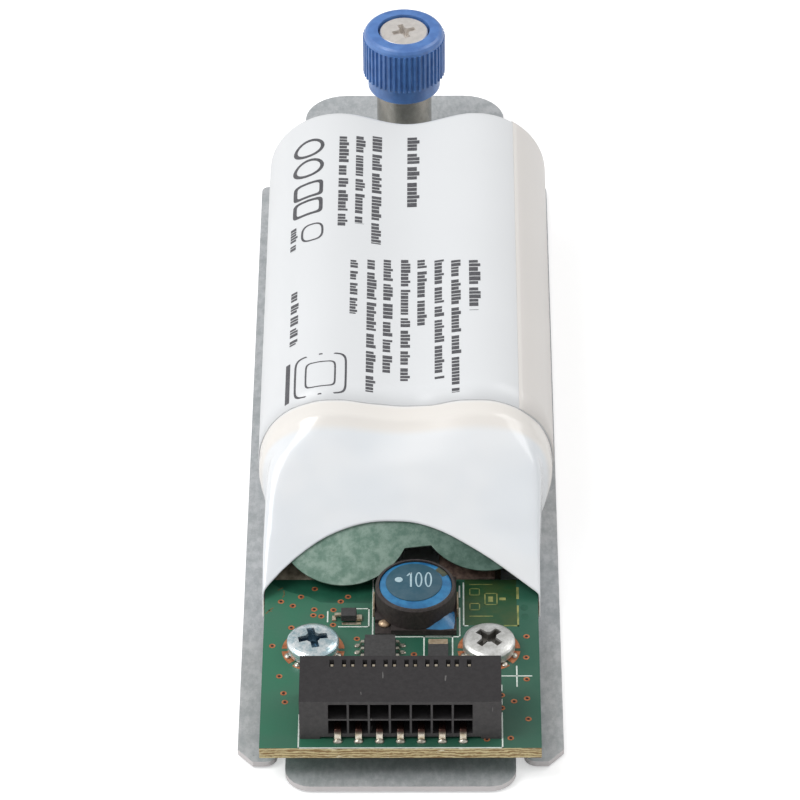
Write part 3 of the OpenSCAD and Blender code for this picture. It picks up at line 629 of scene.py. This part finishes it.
def label():
    """The label round the pack, and its lap from the seam on the upper right down the right side."""
    rings = label_rings(range(AROUND), LABEL_LIFT, LABEL_FRONT, FOLD_Y, wave=SEAM_WAVE)
    body = piece("wrap_label", [p for r in rings for p in r], grid_faces(len(rings), AROUND),
                 "label_film", replaces=["pack_label"])
    solid(body, LABEL_WALL)
    seam = [i for i in range(4, CAPS + 1)
            if ring_point(i, PACK_X, PACK_HALF, FILM_Z0, FILM_Z1, VALLEY, 2)[0] > SEAM_X]
    rings = label_rings(seam, LAP_LIFT, LABEL_FRONT, FOLD_Y, wave=SEAM_WAVE)
    lap = piece("wrap_label_lap", [p for r in rings for p in r],
                grid_faces(len(rings), len(seam), closed=False), "label_lap")
    solid(lap, LAP_WALL)


label()


def draped(name, shapes, lift, paint):
    """Flat marks laid on the label. Each shape is a strip: a list of pairs of x, y points."""
    points, faces = [], []
    for strip in shapes:
        start = len(points)
        for a, b in strip:
            points += [(x, y, label_height(x, y, LABEL_LIFT + lift)) for x, y in (a, b)]
        faces += [(start + 2 * k, start + 2 * k + 2, start + 2 * k + 3, start + 2 * k + 1)
                  for k in range(len(strip) - 1)]
    return piece(name, points, faces, paint)


def block(x0, x1, y0, y1, cuts=2):
    """A plain rectangle as a strip."""
    return [((x0 + (x1 - x0) * k / cuts, y0), (x0 + (x1 - x0) * k / cuts, y1))
            for k in range(cuts + 1)]


def outline_mark(cx, cy, rx, ry, power, w, n=32):
    """An outlined circle (power 1) or rounded square (less than 1)."""
    pairs = []
    for k in range(n + 1):
        c, t = math.cos(2 * math.pi * k / n), math.sin(2 * math.pi * k / n)
        c, t = math.copysign(abs(c) ** power, c), math.copysign(abs(t) ** power, t)
        pairs.append(((cx + (rx - w) * c, cy + (ry - w) * t), (cx + rx * c, cy + ry * t)))
    return pairs


def print_block():
    """Grey blocks and plain outlines in place of print."""
    rng = random.Random(4)
    lines = [  # x, height, start and end along y, and 1 for a bold line
        (1.35, 1.74, 36.55, 20.55, 1), (-3.55, 1.36, 36.06, 11.87, 0), (-5.77, 1.33, 35.52, 15.83, 0),
        (-8.03, 1.37, 35.21, 15.08, 0), (-14.46, 0.98, 16.7, 11.8, 0), (9.46, 1.58, 7.48, -3.19, 1),
        (7.0, 1.31, 7.77, -19.89, 0), (4.81, 1.31, 8.28, -16.8, 0), (2.56, 1.31, 8.77, -5.23, 0),
        (0.4, 1.31, 8.94, -16.55, 0), (-1.89, 1.31, 8.71, -15.04, 0), (-4.02, 1.31, 8.24, -19.42, 0),
        (-6.36, 1.04, 7.75, -3.68, 0), (-14.06, 1.07, 2.54, -8.57, 0),
    ]
    marks = []
    for x, high, start, end, bold in lines:
        y, left = start, rng.randint(3, 8)
        while y > end:
            wide = rng.uniform(0.42, 0.72) * (high / 1.3) ** 0.6 * (1.15 if bold else 1)
            tall = rng.random() < 0.35
            low, top = x - high * 0.44, x + high * (0.5 if tall else 0.3)
            marks.append(block(low, top, y, max(y - wide, end)))
            left -= 1
            y -= wide + (0.15 if left else 0.75)
            left = left or rng.randint(3, 8)
    marks += [outline_mark(-12.77, y, 2.1, 2.0, 1.0, 0.5) for y in (33.6, 29.1)]
    marks += [outline_mark(-12.7, y, 2.0, 1.75, 0.35, 0.5) for y in (24.1, 20.2)]
    marks += [outline_mark(-12.0, 14.4, 1.5, 1.9, 0.7, 0.28)]
    marks += [outline_mark(-10.4, -16.2, 3.4, 4.2, 0.3, 0.26),
              outline_mark(-10.4, -16.2, 2.0, 2.6, 0.3, 0.22),
              block(-14.9, -14.35, -12.2, -20.2)]
    draped("label_print", marks, 0.02, "ink")


print_block()


# ---- board surface ----

def flat_polygons(name, loops, z, paint, thick=0.012):
    """Thin flat shapes on the board. Each loop is a list of x, y points, anticlockwise."""
    points, faces = [], []
    for loop in loops:
        a, n = len(points), len(loop)
        points += [(x, y, z) for x, y in loop] + [(x, y, z + thick) for x, y in loop]
        faces.append(tuple(a + n + i for i in range(n)))
        faces += [(a + i, a + (i + 1) % n, a + n + (i + 1) % n, a + n + i) for i in range(n)]
    return piece(name, points, faces, paint, smooth=False)


def rect(x0, x1, y0, y1):
    return [(x0, y0), (x1, y0), (x1, y1), (x0, y1)]


def oval(x, y, rx, ry, step=20):
    """An ellipse with a point every so many degrees."""
    return [(x + rx * math.cos(math.radians(a)), y + ry * math.sin(math.radians(a)))
            for a in range(0, 360, step)]


def bar(x0, y0, x1, y1, w):
    """A straight line of width w, with square ends half a width past its points."""
    d = Vector((x1 - x0, y1 - y0)).normalized() * w / 2
    n = Vector((-d.y, d.x))
    return [(x0 - d.x + n.x, y0 - d.y + n.y), (x0 - d.x - n.x, y0 - d.y - n.y),
            (x1 + d.x - n.x, y1 + d.y - n.y), (x1 + d.x + n.x, y1 + d.y + n.y)]


def path(points, w):
    """A bent line, one bar for each stretch."""
    return [bar(*points[k], *points[k + 1], w) for k in range(len(points) - 1)]


def annulus(x, y, r0, r1, a0=0.0, a1=360.0, n=28):
    """A ring or part of a ring, as quads."""
    quads = []
    for k in range(n):
        a, b = (math.radians(a0 + (a1 - a0) * t / n) for t in (k, k + 1))
        quads.append([(x + r0 * math.cos(a), y + r0 * math.sin(a)),
                      (x + r1 * math.cos(a), y + r1 * math.sin(a)),
                      (x + r1 * math.cos(b), y + r1 * math.sin(b)),
                      (x + r0 * math.cos(b), y + r0 * math.sin(b))])
    return quads


VIA_SHIFT = -0.1  # added to every via's y
VIAS = [(-10.9, -40.9), (-12.6, -42.4), (-15.1, -43.3), (-13.6, -44.1), (-10.9, -44.8), (-11.0, -45.9),
        (-10.0, -46.1), (-8.5, -44.9), (-8.5, -47.7), (-6.7, -42.4), (-7.6, -43.3), (-13.7, -48.2),
        (-16.0, -51.6), (-15.0, -57.2), (-14.4, -60.3), (-14.2, -61.9), (-5.5, -50.3), (15.6, -49.9),
        (15.5, -53.8), (15.5, -57.8), (15.5, -61.3), (13.9, -61.8), (15.6, -65.0), (13.4, -68.4),
        (12.4, -60.7), (12.4, -63.0), (1.6, -53.2), (10.5, -68.6)]


def board_surface():
    """Vias, a darker patch of mask, dirt, pads and silkscreen lines on the board's top; the patch is a copper
    pour under the mask, darkened further with painted shadow from the pack and film.
    """
    rings, holes = [], []
    for x, y in VIAS:
        rings += annulus(x, y + VIA_SHIFT, 0.2, 0.4, n=18)
        holes.append(oval(x, y + VIA_SHIFT, 0.21, 0.21, 30))
    rear = BOARD_REAR - 0.04
    # painted shadow over a copper pour: the mask at the rear left is darkened where the pack and film shade it
    dark = [[(-3.7, rear), (-16.9, rear), (-16.3, -39.9), (-15.3, -40.8), (-14.0, -41.6),
             (-13.0, -42.0), (-11.7, -42.4), (-10.2, -43.5), (-9.2, -43.6), (-3.7, -43.7)]]
    dark += [oval(x, y, 0.5, 0.6) for x, y in ((15.4, -44.6), (15.45, -46.3))]
    flat_polygons("pour_and_shadow_mask", dark, BOARD_TOP, "shade_mask", 0.004)
    dirt = path([(-16.9, -45.6), (-16.5, -45.0), (-16.1, -44.6)], 0.16)
    dirt += path([(-16.6, -45.1), (-16.2, -45.2)], 0.1)
    dirt += path([(-14.9, -42.6), (-14.7, -42.0), (-14.8, -41.3)], 0.12)
    dirt += path([(-15.5, -41.2), (-15.0, -40.8)], 0.14)
    flat_polygons("flux_streaks", dirt, BOARD_TOP, "dirt", 0.007)
    flat_polygons("via_rings", rings, BOARD_TOP, "copper", 0.02)
    # painted shade: each via's hole is drawn as a dark disc
    flat_polygons("via_holes", holes, BOARD_TOP, "hole", 0.012)

    pads = []
    for s in (-1, 1):
        for k in range(8):
            pads += annulus(s * SCREW_X, SCREW_Y, 2.0, 3.9, 45 * k + 4, 45 * k + 41, 6)
        pads += annulus(s * SCREW_X, SCREW_Y, 2.0, 2.9, n=40)
    flat_polygons("screw_pads", pads, BOARD_TOP, "copper", 0.018)

    w = 0.17
    rear, front = BOARD_REAR - 0.06, mm_box("inductor_base")[0].y - 0.25
    lines = path([(-3.55, rear), (-3.55, front)], w)
    lines += path([(-3.0, front), (7.3, front), (7.3, -44.7)], w)
    lines += path([(7.3, -42.6), (7.3, rear - 1.2)], w)
    lines += path([(-9.2, -45.3), (-9.2, -47.2)], w)
    lines += path([(-6.0, -44.76), (-4.05, -44.76), (-4.05, -48.15), (-7.8, -48.15)], w)
    lines += path([(2.85, -54.5), (2.85, -50.0), (6.4, -50.0), (6.4, -54.5)], w)
    cy = mm_box("connector_housing")[0].y - 1.6
    lines += path([(-12.4, -64.3), (-12.4, cy), (12.4, cy), (12.4, -64.0)], w)
    lines += path([(12.4, -62.4), (12.4, -61.6)], w)
    lines += path([(12.4, -60.0), (12.4, -59.0)], w)
    lines += path([(12.5, -57.3), (16.1, -57.3)], w)
    lines += path([(14.3, -55.5), (14.3, -59.2)], w)
    lines += path([(7.8, -39.9), (7.8, -48.0), (8.3, -48.0)], w)
    flat_polygons("silk_lines", lines, BOARD_TOP, "silk", 0.02)

    old = path([(14.6, -40.9), (14.6, -42.8)], 0.32)
    old += path([(14.6, -44.3), (14.6, -48.0), (12.9, -48.0)], 0.24)
    old += path([(8.6, -41.0), (9.8, -41.0), (9.8, -42.2), (8.6, -42.2), (8.6, -41.0)], 0.13)
    old += path([(8.6, -43.8), (9.8, -43.8), (9.8, -45.0), (8.6, -45.0), (8.6, -43.8)], 0.13)
    old += path([(10.5, -41.9), (12.0, -41.9), (12.0, -44.0), (10.5, -44.0), (10.5, -41.9)], 0.14)
    old += [rect(10.9, 11.5, -43.5, -42.5), rect(12.3, 13.1, -43.2, -42.7)]
    old += path([(8.6, -46.2), (11.4, -46.2)], 0.14) + path([(8.6, -40.2), (11.4, -40.2)], 0.14)
    flat_polygons("old_silk", old, BOARD_TOP, "silk_old", 0.018)
    flat_polygons("thin_mask", [rect(7.95, 14.45, -47.9, BOARD_REAR - 0.05)], BOARD_TOP,
                  "bare_laminate", 0.006)


board_surface()


def blobs(name, centres, paint):
    """Small solder beads: x, y, z, then radii along x, y and z."""
    points, faces = [], []
    for x, y, z, rx, ry, rz in centres:
        a, n, rows = len(points), 14, 5
        for k in range(rows):
            t = math.pi / 2 * k / rows
            points += [(x + rx * math.cos(t) * math.cos(2 * math.pi * i / n),
                        y + ry * math.cos(t) * math.sin(2 * math.pi * i / n),
                        z + rz * math.sin(t)) for i in range(n)]
        points.append((x, y, z + rz))
        faces += grid_faces(rows, n, a)
        top = a + rows * n
        faces += [(a + (rows - 1) * n + i, a + (rows - 1) * n + (i + 1) % n, top) for i in range(n)]
        faces.append(tuple(a + n - 1 - i for i in range(n)))
    return piece(name, points, faces, paint)


def solder():
    """Beads at the contacts' feet, on the screw pads and at the chip's leads."""
    beads = []
    conn_lo, conn_hi = mm_box("connector_housing")
    for k in range(PINS):
        x = (k - 3) * PIN_PITCH
        beads.append((x, conn_lo.y - 0.5, BOARD_TOP, 0.6, 0.42, 0.42))
        beads.append((x, conn_hi.y + 0.9, BOARD_TOP, 0.55, 0.45, 0.3))
    for s in (-1, 1):
        for a in (200, 235, 305, 340):
            t = math.radians(a)
            beads.append((s * SCREW_X + 3.35 * math.cos(t), SCREW_Y + 3.35 * math.sin(t), BOARD_TOP,
                          0.42, 0.5, 0.3))
    chip_lo, chip_hi = mm_box("chip_leads")
    cy = (chip_lo.y + chip_hi.y) / 2
    for k in range(4):
        y = cy + (k - 1.5) * CHIP_PITCH
        beads += [(x, y, BOARD_TOP, 0.42, 0.32, 0.2) for x in (chip_lo.x + 0.2, chip_hi.x - 0.2)]
    blobs("solder_beads", beads, "solder_tin")


solder()


def disc_stack(name, x, y, rings, paint, replaces=(), n=72):
    """A turned shape: rings are radius, height pairs from the axis below to the axis above."""
    points = [(x + r * math.cos(2 * math.pi * i / n), y + r * math.sin(2 * math.pi * i / n), z)
              for r, z in rings for i in range(n)]
    faces = grid_faces(len(rings), n)
    faces += [tuple(range(n - 1, -1, -1)), tuple(range((len(rings) - 1) * n, len(rings) * n))]
    return piece(name, points, faces, paint, replaces=replaces)


def inductor_top():
    """Resin ring, core face a little off its centre, corner resin, lugs, a dot and a plain number."""
    lo, hi = mm_box("inductor_core")
    x, y, top = (lo.x + hi.x) / 2, (lo.y + hi.y) / 2, hi.z
    s_lo, s_hi = mm_box("inductor_shield")
    bore = (s_hi.x - s_lo.x) / 2 - 0.46
    ring = [(bore, top - 1.2), (bore, top - 0.2), (bore - 0.1, top - 0.14), (bore * 0.6, top - 0.14)]
    disc_stack("inductor_ring", x, y, ring, "blue_resin", ["inductor_resin"])
    fx, fy, r = x - 0.2, y + 0.52, 3.52
    disc_stack("inductor_face", fx, fy, [(r, top - 0.6), (r, top - 0.06), (r - 0.05, top)],
               "ferrite_face", ["inductor_core"])
    gap = annulus(x, y, bore - 0.8, bore - 0.03, 26, 50, 8)
    flat_polygons("inductor_gap", gap, top - 0.14, "resin_gap", 0.01)
    b_lo, b_hi = mm_box("inductor_base")
    seat, r = b_hi.z, (s_hi.x - s_lo.x) / 2 + 0.01
    foot = [(b_lo.x + 6.2, b_lo.y + 0.1), (b_hi.x - 2.0, b_lo.y + 0.12), (b_hi.x - 0.35, b_lo.y + 0.35),
            (b_hi.x - 0.2, b_lo.y + 1.6), (b_hi.x - 0.25, b_lo.y + 3.3)]
    points = [(*q, seat) for q in foot]
    for a, z in ((-75, 0.0), (-60, 0.6), (-45, 0.85), (-32, 0.7), (-19, 0.05)):
        points.append((x + r * math.cos(math.radians(a)), y + r * math.sin(math.radians(a)), seat + z))
    piece("inductor_corner_resin", points, [(k, k + 1, k + 6, k + 5) for k in range(4)],
          "blue_resin")
    lug = (b_hi.y - b_lo.y) * 0.16
    lugs = [(u - 0.12, u + 0.12, y - lug, y + lug, BOARD_TOP, seat + 0.5, 0.02)
            for u in (b_lo.x - 0.14, b_hi.x + 0.14)]
    bricks("inductor_lugs", lugs, "tan_terminal", 0.03, ["inductor_terminals"])
    blobs("inductor_joint", [(b_lo.x + 1.2, b_lo.y + 1.75, seat - 0.45, 0.78, 0.72, 0.5)],
          "warm_solder")

    def zero(cx, cy, rx, ry, w, n=20):
        quads = []
        for k in range(n):
            a, b = 2 * math.pi * k / n, 2 * math.pi * (k + 1) / n
            quads.append([(cx + (rx - w) * math.cos(a), cy + (ry - w) * math.sin(a)),
                          (cx + rx * math.cos(a), cy + ry * math.sin(a)),
                          (cx + rx * math.cos(b), cy + ry * math.sin(b)),
                          (cx + (rx - w) * math.cos(b), cy + (ry - w) * math.sin(b))])
        return quads

    cx, cy = x + 0.5, y + 0.95
    marks = [oval(cx - 2.6, cy, 0.5, 0.48)]
    marks.append(rect(cx - 1.2, cx - 0.96, cy - 1.35, cy + 1.35))
    marks.append(bar(cx - 1.15, cy + 1.25, cx - 1.5, cy + 0.8, 0.2))
    marks += zero(cx - 0.1, cy, 0.46, 1.4, 0.2) + zero(cx + 1.1, cy, 0.46, 1.4, 0.2)
    flat_polygons("inductor_marks", marks, top, "pale_print", 0.012)


# ---- socket contacts, diode and tabs, finer than their solids ----

def strip_piece(name, tracks, paint, replaces=()):
    """Bent metal strips with softened edges: each track is x, width, thickness and its y, z centre line."""
    points, faces = [], []
    for x, width, thick, line in tracks:
        section = [(-0.5, -0.25), (-0.42, -0.5), (0.42, -0.5), (0.5, -0.25),
                   (0.5, 0.25), (0.42, 0.5), (-0.42, 0.5), (-0.5, 0.25)]
        start, n = len(points), len(section)
        for k, (y, z) in enumerate(line):
            before, after = line[max(k - 1, 0)], line[min(k + 1, len(line) - 1)]
            d = Vector((after[0] - before[0], after[1] - before[1])).normalized()
            for a, b in section:
                points.append((x + a * width, y - d.y * b * thick, z + d.x * b * thick))
        faces += grid_faces(len(line), n, start)
        last = start + (len(line) - 1) * n
        faces += [tuple(start + n - 1 - i for i in range(n)), tuple(last + i for i in range(n))]
    obj = piece(name, points, faces, paint, replaces=replaces)
    m = obj.modifiers.new("soft", "BEVEL")
    m.width, m.segments = 0.02 * MM, 1
    m.limit_method = "ANGLE"
    m.angle_limit = math.radians(40)
    return obj


def contacts():
    """The two rows of contacts, with the tips that show in the windows."""
    house_lo, house_hi = mm_box("connector_housing")
    front, rear, base = house_lo.y, house_hi.y, BOARD_TOP
    low, high = base + 1.4, mm_box("connector_contacts")[1].z - 0.15
    lower = [(rear - 1.0, low), (front + 0.6, low), (front + 0.2, low - 0.06),
             (front - 0.02, low - 0.26), (front - 0.14, low - 0.55), (front - 0.2, base + 0.35),
             (front - 0.34, base + 0.16), (front - 0.62, base + 0.13)]
    upper = [(front + 4.2, high), (rear + 0.05, high), (rear + 0.35, high - 0.12),
             (rear + 0.48, high - 0.5), (rear + 0.55, base + 0.4), (rear + 0.75, base + 0.14),
             (rear + 1.1, base + 0.13)]
    tracks, tips = [], []
    for k in range(PINS):
        x = (k - 3) * PIN_PITCH
        tracks += [(x, 0.85, 0.25, lower), (x, 0.85, 0.25, upper)]
        for s in (-0.75, 0.75):
            tips.append(rect(x + s - 0.14, x + s + 0.2, rear - 1.62, rear - 1.25))
    strip_piece("socket_contacts", tracks, "socket_contact", ["connector_contacts"])
    flat_polygons("contact_tips", tips, house_hi.z - 0.34, "tinned_bronze", 0.05)


def bricks(name, boxes, paint, edge, replaces=()):
    """Small moulded blocks with tapered sides: x0, x1, y0, y1, z0, z1 and the taper."""
    points, faces = [], []
    for x0, x1, y0, y1, z0, z1, t in boxes:
        a = len(points)
        points += [(x0, y0, z0), (x1, y0, z0), (x1, y1, z0), (x0, y1, z0),
                   (x0 + t, y0 + t, z1), (x1 - t, y0 + t, z1), (x1 - t, y1 - t, z1), (x0 + t, y1 - t, z1)]
        faces += [tuple(a + i for i in f)
                  for f in ((3, 2, 1, 0), (4, 5, 6, 7), (0, 1, 5, 4), (1, 2, 6, 5), (2, 3, 7, 6), (3, 0, 4, 7))]
    obj = piece(name, points, faces, paint, smooth=False, replaces=replaces)
    m = obj.modifiers.new("edge", "BEVEL")
    m.width, m.segments = edge * MM, 2
    return obj


def diode():
    """The diode's case and its tabs."""
    lo, hi = mm_box("diode_leads")
    b_lo, b_hi = mm_box("diode_body")
    y = (lo.y + hi.y) / 2 - 0.22
    x0, x1 = b_lo.x + 0.42, b_hi.x - 0.3
    bricks("diode_case", [(x0, x1, y - 0.82, y + 0.82, BOARD_TOP + 0.32, b_hi.z, 0.06)],
           "black_epoxy", 0.06, ["diode_body"])
    leads = [(lo.x + 0.05, lo.x + 0.6, y - 0.55, y + 0.35, BOARD_TOP, BOARD_TOP + 0.28, 0.05),
             (lo.x + 0.35, x0 + 0.1, y + 0.05, y + 0.6, BOARD_TOP + 0.3, BOARD_TOP + 0.55, 0.05),
             (x1 - 0.1, hi.x - 0.35, y - 0.6, y + 0.4, BOARD_TOP, BOARD_TOP + 0.4, 0.06),
             (x0 + 0.1, hi.x - 0.5, y - 1.2, y - 0.75, BOARD_TOP, BOARD_TOP + 0.12, 0.04)]
    bricks("diode_tabs", leads, "tinned_bronze", 0.04, ["diode_leads"])


def resistor():
    """The chip resistor's end caps and the solder behind it."""
    lo, hi = mm_box("resistor_caps")
    cap = 1.05
    ends = [(lo.x, hi.x, y, y_end, BOARD_TOP, hi.z, 0.04)
            for y, y_end in ((lo.y, lo.y + cap), (hi.y - cap, hi.y))]
    bricks("resistor_ends", ends, "tan_terminal", 0.08, ["resistor_caps"])
    joint = (lo.x + 0.1, hi.x - 0.1, hi.y - 0.05, hi.y + 0.35, BOARD_TOP, BOARD_TOP + 0.3, 0.08)
    bricks("resistor_solder", [joint], "solder_tin", 0.05)


def tab_ends():
    """The cells' nickel strips, seen just behind the board's rear edge; the right one is painted dark brown as
    painted shade.
    """
    y, z = BOARD_REAR, BOARD_TOP
    left = [(y + 0.12, z - 0.3), (y + 0.3, z - 0.08), (y + 1.2, z + 0.15), (y + 2.6, z + 0.9),
            (y + 4.4, z + 1.2)]
    right = [(y + 0.3, z - 0.5), (y + 0.5, z - 0.1), (y + 1.4, z + 0.1), (y + 2.6, z + 0.7),
             (y + 4.4, z + 1.1)]
    strip_piece("left_strip_end", [(-12.95, 6.6, 0.16, left)], "dull_tab")
    # painted shade: the right strip is painted dark brown
    strip_piece("right_strip_end", [(8.3, 7.0, 0.16, right)], "shaded_tab")


inductor_top()
contacts()
diode()
resistor()
tab_ends()


def spring():
    """The captive spring, closed at both ends."""
    lo, hi = mm_box("captive_spring")
    cx, cy, wire = (lo.x + hi.x) / 2, (lo.y + hi.y) / 2, 0.22
    radius, turns, steps, around = (hi.x - lo.x) / 2 - wire, 8, 24, 8
    low, high = lo.z + wire, hi.z - wire
    points, total = [], turns * steps
    for k in range(total + 1):
        turn = k / steps
        share = min(max((turn - 0.9) / (turns - 1.8), 0), 1)
        z = low + (high - low) * share
        a = 2 * math.pi * turn
        for i in range(around):
            b = 2 * math.pi * i / around
            r = radius + wire * math.cos(b)
            points.append((cx + r * math.cos(a), cy + r * math.sin(a), z + wire * math.sin(b)))
    faces = grid_faces(total + 1, around)
    faces += [tuple(range(around - 1, -1, -1)), tuple(range(total * around, (total + 1) * around))]
    obj = piece("spring_wire", points, faces, "spring_steel", replaces=["captive_spring"])
    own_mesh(obj)


spring()


# ---- softened edges on the CAD pieces ----

chamfer("connector_housing", 0.09)
chamfer("controller_chip", 0.1)
chamfer("resistor_body", 0.05)
chamfer("inductor_base", 0.08)
chamfer("bracket", 0.1)


# ---- studio ----

world = bpy.data.worlds.new("studio")
scene.world = world
world.use_nodes = True
tree = world.node_tree
tree.nodes.clear()
out = tree.nodes.new("ShaderNodeOutputWorld")
ambient = tree.nodes.new("ShaderNodeBackground")


def world_math(how, a, b):
    """A maths node of the world's tree."""
    node = tree.nodes.new("ShaderNodeMath")
    node.operation = how
    for socket, value in zip(node.inputs, (a, b)):
        if isinstance(value, (int, float)):
            socket.default_value = value
        else:
            tree.links.new(value, socket)
    return node.outputs[0]


def glow_side(x):
    """Light that grows towards the side where x is positive."""
    return world_math("POWER", world_math("MAXIMUM", x, 0), 1.5)


# A light tent: brightest at the left, then the right, then above, and dimmest at the front
direction = tree.nodes.new("ShaderNodeSeparateXYZ")
tree.links.new(tree.nodes.new("ShaderNodeTexCoord").outputs["Generated"], direction.inputs[0])
dx, dz = direction.outputs["X"], direction.outputs["Z"]
glow_left = world_math("MULTIPLY", glow_side(world_math("MULTIPLY", dx, -1)), 0.85)
glow_right = world_math("MULTIPLY", glow_side(dx), 0.55)
glow_top = world_math("MULTIPLY", world_math("MAXIMUM", dz, 0), 0.32)
total = world_math("ADD", world_math("ADD", glow_left, glow_right),
                   world_math("ADD", glow_top, 0.22))
tree.links.new(total, ambient.inputs["Strength"])
ambient.inputs["Color"].default_value = (1, 1, 1, 1)
seen = tree.nodes.new("ShaderNodeBackground")
seen.inputs["Strength"].default_value = 1
ray = tree.nodes.new("ShaderNodeLightPath")
pick = tree.nodes.new("ShaderNodeMixShader")
tree.links.new(ray.outputs["Is Camera Ray"], pick.inputs[0])
tree.links.new(ambient.outputs[0], pick.inputs[1])
tree.links.new(seen.outputs[0], pick.inputs[2])
tree.links.new(pick.outputs[0], out.inputs[0])


def lamp(name, place, target, size, power):
    """A round area lamp aimed at a point, in metres and watts."""
    light = bpy.data.lights.new(name, "AREA")
    light.shape = "DISK"
    light.size = size
    light.energy = power
    obj = bpy.data.objects.new(name, light)
    obj.location = place
    obj.rotation_euler = (Vector(target) - Vector(place)).to_track_quat("-Z", "Y").to_euler()
    scene.collection.objects.link(obj)


lamp("key", (-0.42, -0.12, 0.62), (0, 0, 0.01), 0.45, 2.6)
lamp("fill", (0.5, 0.25, 0.6), (0, 0, 0.01), 0.5, 1.2)

floor_mat = bpy.data.materials.new("pale_floor")
floor_mat.use_nodes = True
ft = floor_mat.node_tree
ft.nodes.clear()
f_out = ft.nodes.new("ShaderNodeOutputMaterial")
diffuse = ft.nodes.new("ShaderNodeBsdfDiffuse")
diffuse.inputs["Color"].default_value = (0.8, 0.8, 0.8, 1)
glow = ft.nodes.new("ShaderNodeEmission")
glow.inputs["Strength"].default_value = 0.45
both = ft.nodes.new("ShaderNodeAddShader")
f_ray = ft.nodes.new("ShaderNodeLightPath")
f_mix = ft.nodes.new("ShaderNodeMixShader")
ft.links.new(diffuse.outputs[0], both.inputs[0])
ft.links.new(glow.outputs[0], both.inputs[1])
ft.links.new(f_ray.outputs["Is Camera Ray"], f_mix.inputs[0])
ft.links.new(diffuse.outputs[0], f_mix.inputs[1])
ft.links.new(both.outputs[0], f_mix.inputs[2])
ft.links.new(f_mix.outputs[0], f_out.inputs[0])
floor_mesh = bpy.data.meshes.new("floor")
FLOOR_HALF, FLOOR_Z = 3, -0.0003
floor_mesh.from_pydata([(x * FLOOR_HALF, y * FLOOR_HALF, FLOOR_Z)
                        for x, y in ((-1, -1), (1, -1), (1, 1), (-1, 1))], [], [(0, 1, 2, 3)])
floor_mesh.materials.append(floor_mat)
floor = bpy.data.objects.new("floor", floor_mesh)
scene.collection.objects.link(floor)
